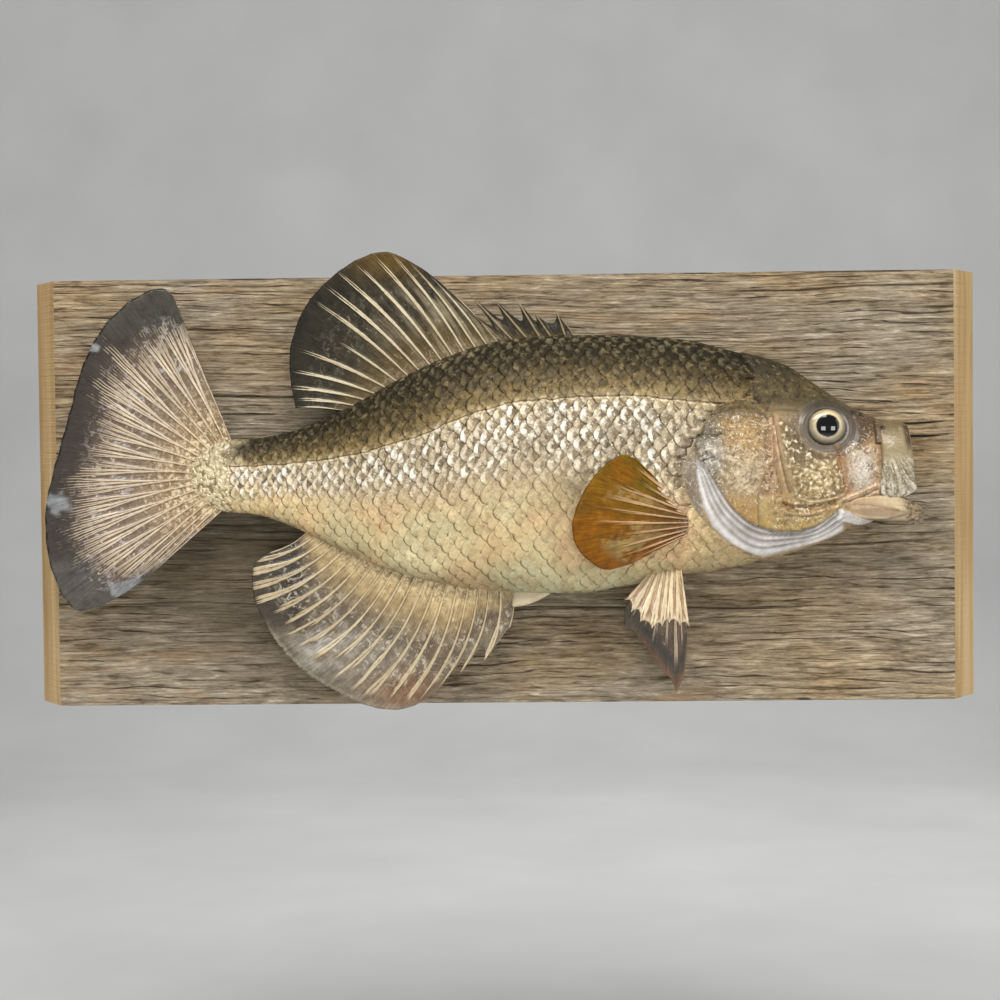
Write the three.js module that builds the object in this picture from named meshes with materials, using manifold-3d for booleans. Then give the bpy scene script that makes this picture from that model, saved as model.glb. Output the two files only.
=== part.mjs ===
// A skin-mounted white crappie on a weathered board, life size, in millimetres.
// +X points to the fish's head, +Z up, +Y into the wall. The origin is the centre
// of the board's back face, so everything else lies at negative Y.

import * as THREE from 'three';
import { mergeVertices } from 'three/addons/utils/BufferGeometryUtils.js';
import Module from 'manifold-3d';

const wasm = await Module();
wasm.setup();

// ---------------------------------------------------------------- driving dimensions

const GAP = 0.3;                 // clearance kept between touching pieces

const BOARD = { height: 184, thickness: 19, backLength: 410, frontLength: 386 };
const BOARD_FRONT = -BOARD.thickness;
const HANGER = { length: 46, height: 9, sheet: 1, rise: 3.2, raised: 26, z: 64, teeth: 11 };
const POCKET = { length: 54, height: 20, depth: 5.4, z: 61 };
const SCREW = { headRadius: 4.2, shankRadius: 1.9, headDepth: 3, length: 17.8, sink: 0.5 };
const SCREW_PLACES = { screw_head_side: [80, 6], screw_tail_side: [-45, 6] };

// Lines of the body: [x, value], each drawn smoothly through its points.
const BACK = [[-134, 8.6], [-131, 14.4], [-125, 19.8], [-118, 23.2], [-104, 23.6], [-86, 27.2],
  [-64, 36.4], [-42, 48.2], [-20, 57.8], [0, 63.3], [30, 65.2], [75, 62.9], [100, 56.8],
  [118, 51.3], [129, 44.1], [141, 35.9], [150, 31], [160, 26.6]];
const BELLY = [[-134, 7.4], [-131, 0.7], [-125, -5.2], [-118, -8.3], [-104, -9.4], [-92, -13.2],
  [-78, -19.6], [-60, -28.5], [-36, -36.6], [-8, -41.6], [30, -43.4], [50, -41], [70, -36.6],
  [92, -34], [116, -28.2], [134, -22.3], [146, -16.2], [160, -12]];
const HALF_WIDTH = [[-134, 0.9], [-126, 3.2], [-116, 5.4], [-100, 7.4], [-75, 11.6], [-45, 16.6],
  [-10, 20.6], [30, 22], [80, 21.8], [105, 20.2], [122, 17.4], [135, 14.8], [148, 13], [160, 12.4]];
const CENTRE = [[-134, -36], [-100, -36.4], [-42, -39], [17, -41], [82, -42], [124, -43], [165, -44]];
const TOP_ROUNDING = 1.12;       // above 1 the back is pinched to a ridge
const BELLY_ROUNDING = 0.86;     // below 1 the belly is full
const RING = 20;                 // points round the body
const SHARPEST = 0.4;            // keeps mitred corners of a shifted outline short

// Seams on the side of the head, as [x, z], from the top down.
const NAPE = [[97, 80], [100, 58], [106, 48.5], [105.4, 41], [102, 37.2]];
const GILL_EDGE = [[95.7, 36.9], [88.8, 33.3], [83.5, 26.5], [79.3, 18.4], [80.1, 10.3], [83.7, 4.1],
  [90.1, -2.9], [97.4, -9], [103.8, -14.4], [111.5, -16.9], [121.6, -17], [129.7, -14.7], [136.4, -9.8]];
const EAR = 3;                   // index of the gill cover's hindmost point in GILL_EDGE
const PREOPERCLE = [[139, -5.6], [127.8, -6.4], [118.4, -5], [115.3, 7.8], [113, 20], [110.6, 31], [104, 36]];
const CHEEK = [[113.2, 29.4], [115, 20], [117.3, 7.6], [120.2, -3], [127.8, -4.2], [139.2, -3.2],
  [141.4, 1.6], [138.6, 8], [133, 14.6], [124, 17.4], [119.6, 23], [118, 29.4]];
const MEMBRANE_EDGE = [[75, 8], [76.5, -0.7], [80.1, -8.1], [86.1, -15.1], [95.4, -22.6], [105.6, -27.8]];
const LIP_LINE = [[140.5, -7.4], [144, -4.9], [172, -4.1]];
const THROAT_TIP = [[140.5, -7.4], [149, -9.6], [156.4, -13.9], [148, -30]];
const TAIL_SEAM = [[-87, 60], [-91, 9], [-86, -60]];

const PLATE = { proud: 1.1, inset: 1.9 };        // gill cover over and under the body's surface
const CHEEK_PLATE = { proud: 0.7, inset: 1.6 };

const EYE = { x: 133.6, z: 26.2, radius: 7.8, dome: 2.9, seat: 3.4, turnForward: 5, turnUp: 10 };

// The mouth: [x, top, bottom, half width].
const MOUTH_CAVITY = [[137, 10, 8, 1], [141, 18, 0, 4.6], [147, 23.6, -4, 8.2], [153, 25, -9, 10],
  [164, 24.6, -12, 10.4]];
const UPPER_JAW = [[155.2, 27.8, -14, 13.3], [162, 27.2, -14, 13.3], [168.6, 26.2, -14, 12.5]];
const LOWER_JAW = [[141, -7.8, -13, 8.6], [144, -5.2, -12.8, 10.6], [150, -4.7, -12.8, 11.6],
  [157, -4.5, -13.2, 12], [164, -4.6, -14.2, 11], [169, -5.8, -15, 8.4], [172.6, -7.4, -15.2, 5.4],
  [175, -10, -14, 1.6]];
const JAW_WALL = 1.8;
const MAXILLA_TOP = 20;
const MAXILLA = [[155.4, MAXILLA_TOP], [155, 6], [155.2, -0.4], [158.2, -3.7], [164.2, -3.8], [167.6, 0],
  [168.2, 8], [167.2, 17], [166.2, MAXILLA_TOP]];

// Fins. Roots are sunk below the skin and trimmed there.
const FIN_ROWS = 3;
const CAUDAL = {
  count: 22, thick: [1.7, 0.9], film: [1, 0.6], rayEnd: 0.8,
  root: [[-113.5, -36, 21], [-126, -36, 15.5], [-129.5, -36, 8], [-127, -36, 0], [-117, -36, -6]],
  margin: [[-137.4, -38.5, 83.4], [-142.6, -39, 86.9], [-154, -39.5, 82.6], [-166.4, -40, 71.4],
    [-176, -40, 53.8], [-183.4, -39.5, 29.8], [-190.4, -39.5, 6.8], [-193, -40, -10.3],
    [-190.4, -41, -30.6], [-181, -42, -47.8], [-166, -41, -45], [-150, -39, -35]],
};
const SOFT_DORSAL = {
  count: 15, thick: [1.5, 0.9], film: [0.8, 0.6], rayEnd: 0.75,
  root: [[1, -41, 60], [-20, -40.4, 54], [-42, -39.2, 44.4], [-64, -38, 34]],
  margin: [[-24.8, -42.4, 87.5], [-34, -42.6, 94.4], [-46.8, -42.4, 100.3], [-59.4, -42, 97.2],
    [-71.7, -41.6, 88.8], [-81.9, -41.2, 77.4], [-87.8, -41, 62], [-88.2, -41, 48], [-86, -41, 35.6]],
};
const SPINY_DORSAL = {
  thick: [1.7, 0.7], film: [0.8, 0.6], rayEnd: 1, notch: 0.42,
  spines: [[[32, 62.6], [26.6, 71.6]], [[27.8, 62.6], [23.6, 75]], [[22.4, 62.4], [13.9, 75]],
    [[17.8, 62], [6.5, 81.2]], [[12.8, 61.6], [-3.1, 81]], [[7, 61], [-14.3, 84.2]], [[3, 60.4], [-15, 77]]],
  y: [-41.2, -42.2],
};
const ANAL = {
  count: 20, thick: [1.6, 0.9], film: [0.8, 0.6], rayEnd: 0.78, spines: 6, notch: 0.2,
  root: [[3.4, -40.6, -38], [-20, -39.8, -37], [-48, -38.6, -29], [-66, -37.8, -21], [-80, -37.2, -14]],
  margin: [[3.2, -41, -57], [-3.6, -41.2, -69], [-12.8, -41.4, -73.4], [-26.8, -41.6, -83],
    [-38, -41.6, -90], [-48, -41.6, -91.5], [-59, -41.6, -89.2], [-70, -41.6, -84], [-81, -41.6, -77.4],
    [-89.5, -41.4, -70], [-96.4, -41.2, -61.4], [-101.2, -41, -53], [-104.6, -40.6, -44.4],
    [-105.6, -40.4, -36], [-104, -40.2, -29.4], [-97.4, -40, -24.6]],
};
const PECTORAL = {
  count: 11, thick: [1.5, 0.8], film: [0.9, 0.6], rayEnd: 0.75,
  root: [[74, -60, -5.6], [76, -60.4, -9], [76.6, -60.4, -12.6], [76, -60.2, -16.2], [74, -59.6, -19.4]],
  margin: [[56.7, -66.4, 11.8], [50.3, -67, 14.9], [43, -67.6, 11.1], [36.4, -68, 4.2], [31.1, -68.2, -5.3],
    [28.9, -68.2, -14.2], [30.7, -68, -22.3], [36.1, -67.4, -28.4], [42.8, -66.6, -31.8], [53, -65.4, -29.6]],
};
const PELVIC_NEAR = {
  thick: [1.6, 0.9], film: [1, 0.7], rayEnd: 1, notch: 0.12,
  spines: [[[61, -34.5], [50.1, -45.2]], [[63, -34], [52.9, -50]], [[65, -33.6], [56.6, -54]],
    [[66.8, -33.2], [61.4, -56.8]], [[68.6, -33], [65.6, -56]], [[70.4, -32.8], [68.6, -54.6]],
    [[72.2, -32.6], [73, -55.8]], [[74.2, -32.4], [77, -56.6]]],
  y: [-49, -57],
};
const PELVIC_FAR = {
  thick: [1.5, 0.8], film: [0.8, 0.6], rayEnd: 1, notch: 0.03,
  spines: [[[62, -34.5], [50.8, -51]], [[64, -34], [51.2, -58.4]], [[66, -33.6], [57, -64.4]],
    [[68, -33.2], [62.4, -71.4]], [[70, -33], [68, -79.4]], [[72, -32.8], [72.8, -86.4]],
    [[74, -32.6], [76, -80]], [[75.4, -32.4], [77.6, -66]]],
  y: [-36, -34],
};
const VENT = { outline: [[19, -40], [19.6, -43.6], [10.4, -48.8], [4.6, -48.6], [5, -40]], thickness: 3 };

// ---------------------------------------------------------------- finishes

function finish(color, roughness, metalness = 0) {
  return new THREE.MeshStandardMaterial({ color, roughness, metalness });
}

const MATERIALS = {
  weathered_wood: finish(0x8c8069, 0.9),
  hanger_steel: finish(0xb9b8b2, 0.4, 1),
  fish_skin: finish(0xa89a6c, 0.4),
  head_skin: finish(0xa08c62, 0.38),
  bony_plate: finish(0xc9b27c, 0.35),
  gill_membrane: finish(0xd9d4cb, 0.4),
  jaw_membrane: finish(0xb3a88a, 0.35),
  fin_film: finish(0x5d5344, 0.3),
  amber_fin: finish(0xa56f20, 0.3),
  glass_eye: finish(0x1b1812, 0.05),
};

// ---------------------------------------------------------------- solids

function solidOf(geometry) {
  const bare = geometry.clone();
  bare.deleteAttribute('normal');
  bare.deleteAttribute('uv');
  const welded = mergeVertices(bare, 1e-4);
  return new wasm.Manifold(new wasm.Mesh({
    numProp: 3,
    vertProperties: new Float32Array(welded.attributes.position.array),
    triVerts: new Uint32Array(welded.index.array),
  }));
}

function geometryOf(solid) {
  const mesh = solid.getMesh();
  const geometry = new THREE.BufferGeometry();
  geometry.setAttribute('position', new THREE.BufferAttribute(new Float32Array(mesh.vertProperties), 3));
  geometry.setIndex(new THREE.BufferAttribute(new Uint32Array(mesh.triVerts), 1));
  geometry.computeVertexNormals();
  return geometry;
}

function closedMesh(points, faces) {
  const geometry = new THREE.BufferGeometry();
  geometry.setAttribute('position', new THREE.Float32BufferAttribute(points.flat(), 3));
  geometry.setIndex(faces.flat());
  return geometry;
}

// ---------------------------------------------------------------- lines and outlines

// A smooth line through [x, value, ...] points; returns the values at any x.
function smoothLine(points) {
  const last = points.length - 1;
  const slope = (i, k) => {
    const before = points[Math.max(i - 1, 0)];
    const after = points[Math.min(i + 1, last)];
    return (after[k] - before[k]) / (after[0] - before[0]);
  };
  return (x, k = 1) => {
    let i = 0;
    while (i < last - 1 && points[i + 1][0] < x) i += 1;
    const [a, b] = [points[i], points[i + 1]];
    const span = b[0] - a[0];
    const t = THREE.MathUtils.clamp((x - a[0]) / span, 0, 1);
    const [t2, t3] = [t * t, t * t * t];
    return (2 * t3 - 3 * t2 + 1) * a[k] + (t3 - 2 * t2 + t) * span * slope(i, k)
      + (3 * t2 - 2 * t3) * b[k] + (t3 - t2) * span * slope(i + 1, k);
  };
}

// Moves an [x, z] line sideways, to the left of its direction, keeping its distance round corners.
function shifted(points, distance, closed = false) {
  const n = points.length;
  const direction = (a, b) => new THREE.Vector2(b[0] - a[0], b[1] - a[1]).normalize();
  return points.map((point, i) => {
    const before = closed || i > 0 ? direction(points[(i + n - 1) % n], point) : null;
    const after = closed || i < n - 1 ? direction(point, points[(i + 1) % n]) : null;
    const along = (before ?? after).clone().add(after ?? before).normalize();
    const mitre = distance / Math.max(along.dot(after ?? before), SHARPEST);
    return [point[0] - along.y * mitre, point[1] + along.x * mitre];
  });
}

const steps = (from, to, count) => Array.from({ length: count }, (_, i) => from + ((to - from) * i) / count);

// A straight prism over an [x, z] outline, from one Y to another.
function slab(outline, yFrom = -90, yTo = -10) {
  const shape = new THREE.Shape(outline.map(([x, z]) => new THREE.Vector2(x, z)));
  const geometry = new THREE.ExtrudeGeometry(shape, { depth: yTo - yFrom, bevelEnabled: false });
  geometry.rotateX(Math.PI / 2);
  geometry.translate(0, yTo, 0);
  return solidOf(geometry);
}

// ---------------------------------------------------------------- body

const backAt = smoothLine(BACK);
const bellyAt = smoothLine(BELLY);
const halfWidthAt = smoothLine(HALF_WIDTH);
const centreAt = smoothLine(CENTRE);

const bodySection = (x) => ({ top: backAt(x), bottom: bellyAt(x), half: halfWidthAt(x), centre: centreAt(x) });

// The side of a section at a turn from its top: 0 at the ridge, 1 at the widest place.
function reach(angle, topRounding, bottomRounding) {
  const power = Math.cos(angle) > 0 ? topRounding : bottomRounding;
  return Math.sign(Math.sin(angle)) * Math.abs(Math.sin(angle)) ** power;
}

// A closed skin through oval sections along X.
function loft(sectionAt, stations, { grow = 0, ring = RING, rounding = [1, 1], wall = Infinity } = {}) {
  const points = [];
  const faces = [];
  stations.forEach((x) => {
    const { top, bottom, half, centre } = sectionAt(x);
    const middle = (top + bottom) / 2;
    const rise = Math.max((top - bottom) / 2 + grow, 0.2);
    const width = Math.max(half + grow, 0.2);
    for (let j = 0; j < ring; j += 1) {
      const angle = (2 * Math.PI * j) / ring;
      const y = centre + width * reach(angle, rounding[0], rounding[1]);
      points.push([x, Math.min(y, wall), middle + rise * Math.cos(angle)]);
    }
  });
  for (let i = 0; i < stations.length - 1; i += 1) {
    for (let j = 0; j < ring; j += 1) {
      const [a, b] = [i * ring + j, i * ring + ((j + 1) % ring)];
      faces.push([a, b + ring, b], [a, a + ring, b + ring]);
    }
  }
  [[0, 1], [stations.length - 1, -1]].forEach(([station, turn]) => {
    const first = station * ring;
    const rim = points.slice(first, first + ring);
    points.push([0, 1, 2].map((k) => rim.reduce((sum, p) => sum + p[k], 0) / ring));
    for (let j = 0; j < ring; j += 1) {
      const [a, b] = [first + j, first + ((j + 1) % ring)];
      faces.push(turn > 0 ? [points.length - 1, a, b] : [points.length - 1, b, a]);
    }
  });
  return solidOf(closedMesh(points, faces));
}

const BODY_STATIONS = [...steps(-134, -118, 5), ...steps(-118, 96, 20), ...steps(96, 157.5, 10), 157.5];

const bodySolid = (grow = 0) => loft(bodySection, BODY_STATIONS, {
  grow,
  rounding: [TOP_ROUNDING, BELLY_ROUNDING],
  wall: BOARD_FRONT - GAP,
});

// The near flank's Y at a place on the side.
function flankY(x, z) {
  const { top, bottom, half, centre } = bodySection(x);
  const lift = (z - (top + bottom) / 2) / ((top - bottom) / 2);
  const power = lift > 0 ? TOP_ROUNDING : BELLY_ROUNDING;
  return centre - half * Math.sqrt(Math.max(1 - lift * lift, 0)) ** power;
}

const body = bodySolid();
const bodyWithRoom = bodySolid(GAP);

const seamShift = GAP / 2;       // each side of a seam draws back by this
const headSeam = [...NAPE, ...GILL_EDGE, ...LIP_LINE];
const trunkSeam = [...NAPE, ...GILL_EDGE.slice(0, EAR + 1), ...MEMBRANE_EDGE, [111, -60]];
const throatOutline = [...GILL_EDGE.slice(EAR), ...THROAT_TIP, [111, -60], ...MEMBRANE_EDGE.slice().reverse()];

const headRegion = slab([...shifted(headSeam, seamShift), [180, 80]]);
const throatRegion = slab(shifted(throatOutline, -seamShift, true));
const trunkRegion = slab([...shifted(trunkSeam, -seamShift), ...shifted(TAIL_SEAM, seamShift).reverse()]);
const tailRegion = slab([...shifted(TAIL_SEAM, -seamShift), [-180, -60], [-180, 60]]);

// A thin bony plate that follows the body's surface inside an outline, and the pocket it sits in.
function surfacePlate(outline, { proud, inset }) {
  const layer = bodySolid(proud).subtract(bodySolid(-inset));
  const pocket = bodySolid(proud + GAP).subtract(bodySolid(-inset - GAP));
  const middle = -43;
  const sides = { near: [-90, middle - 4], far: [middle + 4, BOARD_FRONT - GAP] };
  return Object.fromEntries(Object.entries(sides).map(([side, [from, to]]) => [side, {
    plate: layer.intersect(slab(outline, from, to)),
    pocket: pocket.intersect(slab(shifted(outline, -GAP, true), from, to)),
  }]));
}

const gillCover = surfacePlate(shifted([...GILL_EDGE, ...PREOPERCLE], seamShift, true), PLATE);
const cheek = surfacePlate(CHEEK, CHEEK_PLATE);

// ---------------------------------------------------------------- eyes

function eyeGeometry(grow = 0) {
  const seat = -EYE.seat - grow;
  const profile = [new THREE.Vector2(0, seat), new THREE.Vector2(EYE.radius + grow, seat)];
  const rings = 3;
  for (let i = 0; i <= rings; i += 1) {
    const turn = (Math.PI / 2) * (i / rings);
    const across = i === rings ? 0 : (EYE.radius + grow) * Math.cos(turn);
    profile.push(new THREE.Vector2(across, (EYE.dome + grow) * Math.sin(turn)));
  }
  return new THREE.LatheGeometry(profile, 16);
}

// Places an eye's lens on one flank; its axis points out, a little forward and up.
function placeEye(object, side) {
  const y = flankY(EYE.x, EYE.z);
  const centre = centreAt(EYE.x);
  const outward = new THREE.Vector3(
    Math.sin(THREE.MathUtils.degToRad(EYE.turnForward)),
    side === 'near' ? -1 : 1,
    Math.sin(THREE.MathUtils.degToRad(EYE.turnUp)),
  ).normalize();
  object.position.set(EYE.x, side === 'near' ? y : 2 * centre - y, EYE.z);
  object.quaternion.setFromUnitVectors(new THREE.Vector3(0, 1, 0), outward);
  object.updateMatrixWorld(true);
  return object;
}

const eyeSocket = (side) => {
  const room = placeEye(new THREE.Mesh(eyeGeometry(GAP)), side);
  return solidOf(room.geometry.clone().applyMatrix4(room.matrixWorld));
};

// ---------------------------------------------------------------- mouth

// A loft through [x, top, bottom, half width] rows.
function mouthLoft(rows, { grow = 0, count = 6, lift = 0, rounding = [0.7, 0.8] } = {}) {
  const line = smoothLine(rows);
  const section = (x) => ({
    top: line(x, 1) + lift,
    bottom: line(x, 2),
    half: line(x, 3),
    centre: centreAt(x),
  });
  const [from, to] = [rows[0][0], rows[rows.length - 1][0]];
  return loft(section, [...steps(from, to, count), to], { grow, ring: 14, rounding });
}

const mouthCavity = mouthLoft(MOUTH_CAVITY, { count: 5 });
const mouthBore = [[150, 27.8, -14, 13.3], ...UPPER_JAW, [176, 26.2, -14, 12.5]];
const mouthWall = mouthLoft(UPPER_JAW, { count: 3 })
  .subtract(mouthLoft(mouthBore, { count: 6, grow: -JAW_WALL }))
  .subtract(bodyWithRoom);

const maxillaOutline = slab(MAXILLA, -90, -44);
const maxillaFarOutline = slab(MAXILLA, -44, -10);
const upperJawOutline = slab([[150, MAXILLA_TOP + GAP], [172, MAXILLA_TOP + GAP], [172, 40], [150, 40]]);

const jawOuter = mouthLoft(LOWER_JAW, { count: 8, rounding: [0.7, 0.7] });
const jawScoop = mouthLoft(LOWER_JAW.slice(2, 7), {
  count: 5,
  grow: -JAW_WALL,
  lift: 12,
  rounding: [0.7, 0.7],
});
const throatRoom = slab(shifted(throatOutline, seamShift, true));
const jawSeam = shifted([...GILL_EDGE.slice(-1), ...LIP_LINE, [190, -4.1]], -seamShift);
const jawRegion = slab([...jawSeam, [190, -40], [130, -40]]);
const lowerJaw = jawOuter.subtract(jawScoop).subtract(throatRoom).intersect(jawRegion);

// ---------------------------------------------------------------- fins

const point3 = ([x, y, z]) => new THREE.Vector3(x, y, z);

// Evenly spread rays between a root line and a margin line.
function fanRays({ root, margin, count, spines = 0, notch = 0 }) {
  const [rootLine, marginLine] = [root, margin].map((line) => new THREE.CatmullRomCurve3(line.map(point3)));
  return Array.from({ length: count }, (_, i) => {
    const along = i / (count - 1);
    return {
      root: rootLine.getPointAt(along),
      tip: marginLine.getPointAt(along),
      notch: i < spines - 1 ? notch : 0,
    };
  });
}

// Rays each of their own length, from [x, z] pairs.
const ownRays = ({ spines, y, notch }) => spines.map(([root, tip]) => ({
  root: new THREE.Vector3(root[0], y[0], root[1]),
  tip: new THREE.Vector3(tip[0], y[1], tip[1]),
  notch,
}));

// A closed thin fin: thick ray columns with film between them.
function finSolid(rays, { thick, film, rayEnd }) {
  const columns = [];
  rays.forEach((ray, i) => {
    columns.push({ root: ray.root, tip: ray.tip, size: thick });
    const next = rays[i + 1];
    if (!next) return;
    const root = ray.root.clone().lerp(next.root, 0.5);
    const tip = ray.tip.clone().lerp(next.tip, 0.5);
    columns.push({ root, tip: tip.lerp(root, ray.notch), size: film });
  });
  const [wide, tall] = [columns.length, FIN_ROWS + 1];
  const points = [];
  [-0.5, 0.5].forEach((side) => columns.forEach(({ root, tip, size }) => {
    for (let row = 0; row < tall; row += 1) {
      const t = row / FIN_ROWS;
      const taper = THREE.MathUtils.lerp(size[0], size[1], Math.min(t / rayEnd, 1));
      const p = root.clone().lerp(tip, t);
      points.push([p.x, p.y + side * (t > rayEnd ? Math.min(taper, film[0]) : taper), p.z]);
    }
  }));
  const at = (layer, column, row) => layer * wide * tall + column * tall + row;
  const faces = [];
  const quad = (a, b, c, d) => faces.push([a, b, c], [a, c, d]);
  for (let c = 0; c < wide - 1; c += 1) {
    for (let r = 0; r < tall - 1; r += 1) {
      quad(at(0, c, r), at(0, c, r + 1), at(0, c + 1, r + 1), at(0, c + 1, r));
      quad(at(1, c, r), at(1, c + 1, r), at(1, c + 1, r + 1), at(1, c, r + 1));
    }
    quad(at(0, c, 0), at(0, c + 1, 0), at(1, c + 1, 0), at(1, c, 0));
    quad(at(0, c, tall - 1), at(1, c, tall - 1), at(1, c + 1, tall - 1), at(0, c + 1, tall - 1));
  }
  [[0, false], [wide - 1, true]].forEach(([c, turned]) => {
    for (let r = 0; r < tall - 1; r += 1) {
      const side = [at(0, c, r), at(1, c, r), at(1, c, r + 1), at(0, c, r + 1)];
      quad(...(turned ? side.reverse() : side));
    }
  });
  const solid = solidOf(closedMesh(points, faces));
  return (solid.volume() < 0 ? solidOf(closedMesh(points, faces.map((face) => face.reverse()))) : solid)
    .subtract(bodyWithRoom);
}

// ---------------------------------------------------------------- board and hardware

function boardSolid() {
  const [back, front] = [BOARD.backLength / 2, BOARD.frontLength / 2];
  const outline = new THREE.Shape([[-back, 0], [-front, BOARD_FRONT], [front, BOARD_FRONT], [back, 0]]
    .map(([x, y]) => new THREE.Vector2(x, y)));
  const geometry = new THREE.ExtrudeGeometry(outline, { depth: BOARD.height, bevelEnabled: false });
  geometry.translate(0, 0, -BOARD.height / 2);
  const pocket = new THREE.BoxGeometry(POCKET.length, POCKET.depth * 2, POCKET.height);
  pocket.translate(0, 0, POCKET.z);
  return Object.keys(SCREW_PLACES).reduce(
    (solid, name) => solid.subtract(solidOf(placedScrew(name, GAP))),
    solidOf(geometry).subtract(solidOf(pocket)),
  );
}

function placedScrew(name, grow = 0) {
  const { headRadius, shankRadius, headDepth, length, sink } = SCREW;
  const start = grow > 0 ? 2 : -sink;
  const profile = [[0, start], [headRadius + grow, start], [headRadius + grow, -sink - 0.6 - grow],
    [shankRadius + grow, -headDepth - grow], [shankRadius + grow, -length + 2], [0, -length - grow]];
  const geometry = new THREE.LatheGeometry(profile.reverse().map(([r, y]) => new THREE.Vector2(r, y)), 12);
  const [x, z] = SCREW_PLACES[name];
  return geometry.translate(x, 0, z);
}

// A bent strip with a row of teeth on its lower edge, seated in the board's pocket.
function hangerSolid() {
  const { length, height, sheet, rise, raised, z, teeth } = HANGER;
  const floor = -POCKET.depth + GAP;
  const [end, step] = [length / 2, raised / 2];
  const upper = [[-end, floor + sheet], [-step - rise, floor + sheet], [-step, floor + sheet + rise],
    [step, floor + sheet + rise], [step + rise, floor + sheet], [end, floor + sheet]];
  const lower = upper.map(([x, y]) => [x, y - sheet]).reverse();
  const shape = new THREE.Shape([...upper, ...lower].map(([x, y]) => new THREE.Vector2(x, y)));
  const strip = new THREE.ExtrudeGeometry(shape, { depth: height, bevelEnabled: false });
  strip.translate(0, 0, z - height / 2);
  const pitch = (raised - 2) / teeth;
  const bottom = z - height / 2;
  const notches = [[-raised / 2 + 1, bottom - 1]];
  for (let i = 0; i < teeth; i += 1) {
    const x = -raised / 2 + 1 + i * pitch;
    notches.push([x, bottom + 0.1], [x + pitch / 2, bottom + 1.8]);
  }
  notches.push([raised / 2 - 1, bottom + 0.1], [raised / 2 - 1, bottom - 1]);
  return solidOf(strip).subtract(slab(notches, -8, 2));
}

// ---------------------------------------------------------------- assembly

const part = new THREE.Group();

function add(name, solid, material) {
  const mesh = new THREE.Mesh(geometryOf(solid), MATERIALS[material]);
  mesh.name = name;
  part.add(mesh);
}

add('board', boardSolid(), 'weathered_wood');
add('hanger', hangerSolid(), 'hanger_steel');
Object.keys(SCREW_PLACES).forEach((name) => add(name, solidOf(placedScrew(name)), 'hanger_steel'));

const headCuts = [gillCover.near.pocket, gillCover.far.pocket, cheek.near.pocket, cheek.far.pocket,
  eyeSocket('near'), eyeSocket('far'), mouthCavity];
add('head', headCuts.reduce((solid, cut) => solid.subtract(cut), body.intersect(headRegion)), 'head_skin');
['near', 'far'].forEach((side) => {
  add(`gill_cover_${side}`, gillCover[side].plate, 'bony_plate');
  add(`cheek_${side}`, cheek[side].plate, 'bony_plate');
  const eye = placeEye(new THREE.Mesh(eyeGeometry(), MATERIALS.glass_eye), side);
  eye.name = `eye_${side}`;
  part.add(eye);
});
add('throat', body.intersect(throatRegion), 'gill_membrane');
add('lower_jaw', lowerJaw, 'jaw_membrane');
add('upper_jaw', mouthWall.intersect(upperJawOutline), 'jaw_membrane');
add('maxilla_near', mouthWall.intersect(maxillaOutline), 'jaw_membrane');
add('maxilla_far', mouthWall.intersect(maxillaFarOutline), 'jaw_membrane');
add('trunk', body.intersect(trunkRegion), 'fish_skin');
add('tail_base', body.intersect(tailRegion), 'fish_skin');

add('spiny_dorsal_fin', finSolid(ownRays(SPINY_DORSAL), SPINY_DORSAL), 'fin_film');
add('soft_dorsal_fin', finSolid(fanRays(SOFT_DORSAL), SOFT_DORSAL), 'fin_film');
add('tail_fin', finSolid(fanRays(CAUDAL), CAUDAL), 'fin_film');
add('anal_fin', finSolid(fanRays(ANAL), ANAL), 'fin_film');
add('pectoral_fin', finSolid(fanRays(PECTORAL), PECTORAL), 'amber_fin');
add('pelvic_fin_near', finSolid(ownRays(PELVIC_NEAR), PELVIC_NEAR), 'fin_film');
add('pelvic_fin_far', finSolid(ownRays(PELVIC_FAR), PELVIC_FAR), 'fin_film');
const ventY = centreAt(10);
add('vent_flap', slab(VENT.outline, ventY - VENT.thickness / 2, ventY + VENT.thickness / 2)
  .subtract(bodyWithRoom), 'gill_membrane');

export default part;
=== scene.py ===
# %% [markdown]
# # A crappie on a barn board
# A taxidermist has stretched a fish's skin over a form, painted it back to life and screwed it to a
# weathered board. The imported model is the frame: it says how big everything is and where it sits. This
# script dresses that frame. Every length below is in millimetres until a mesh is written, and the fish
# looks along +X, with the board's back at Y = 0 and the side that is seen towards -Y.

# %% The frame
import math

import bmesh
import bpy
import numpy as np
from mathutils import Matrix, Vector, noise


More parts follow.
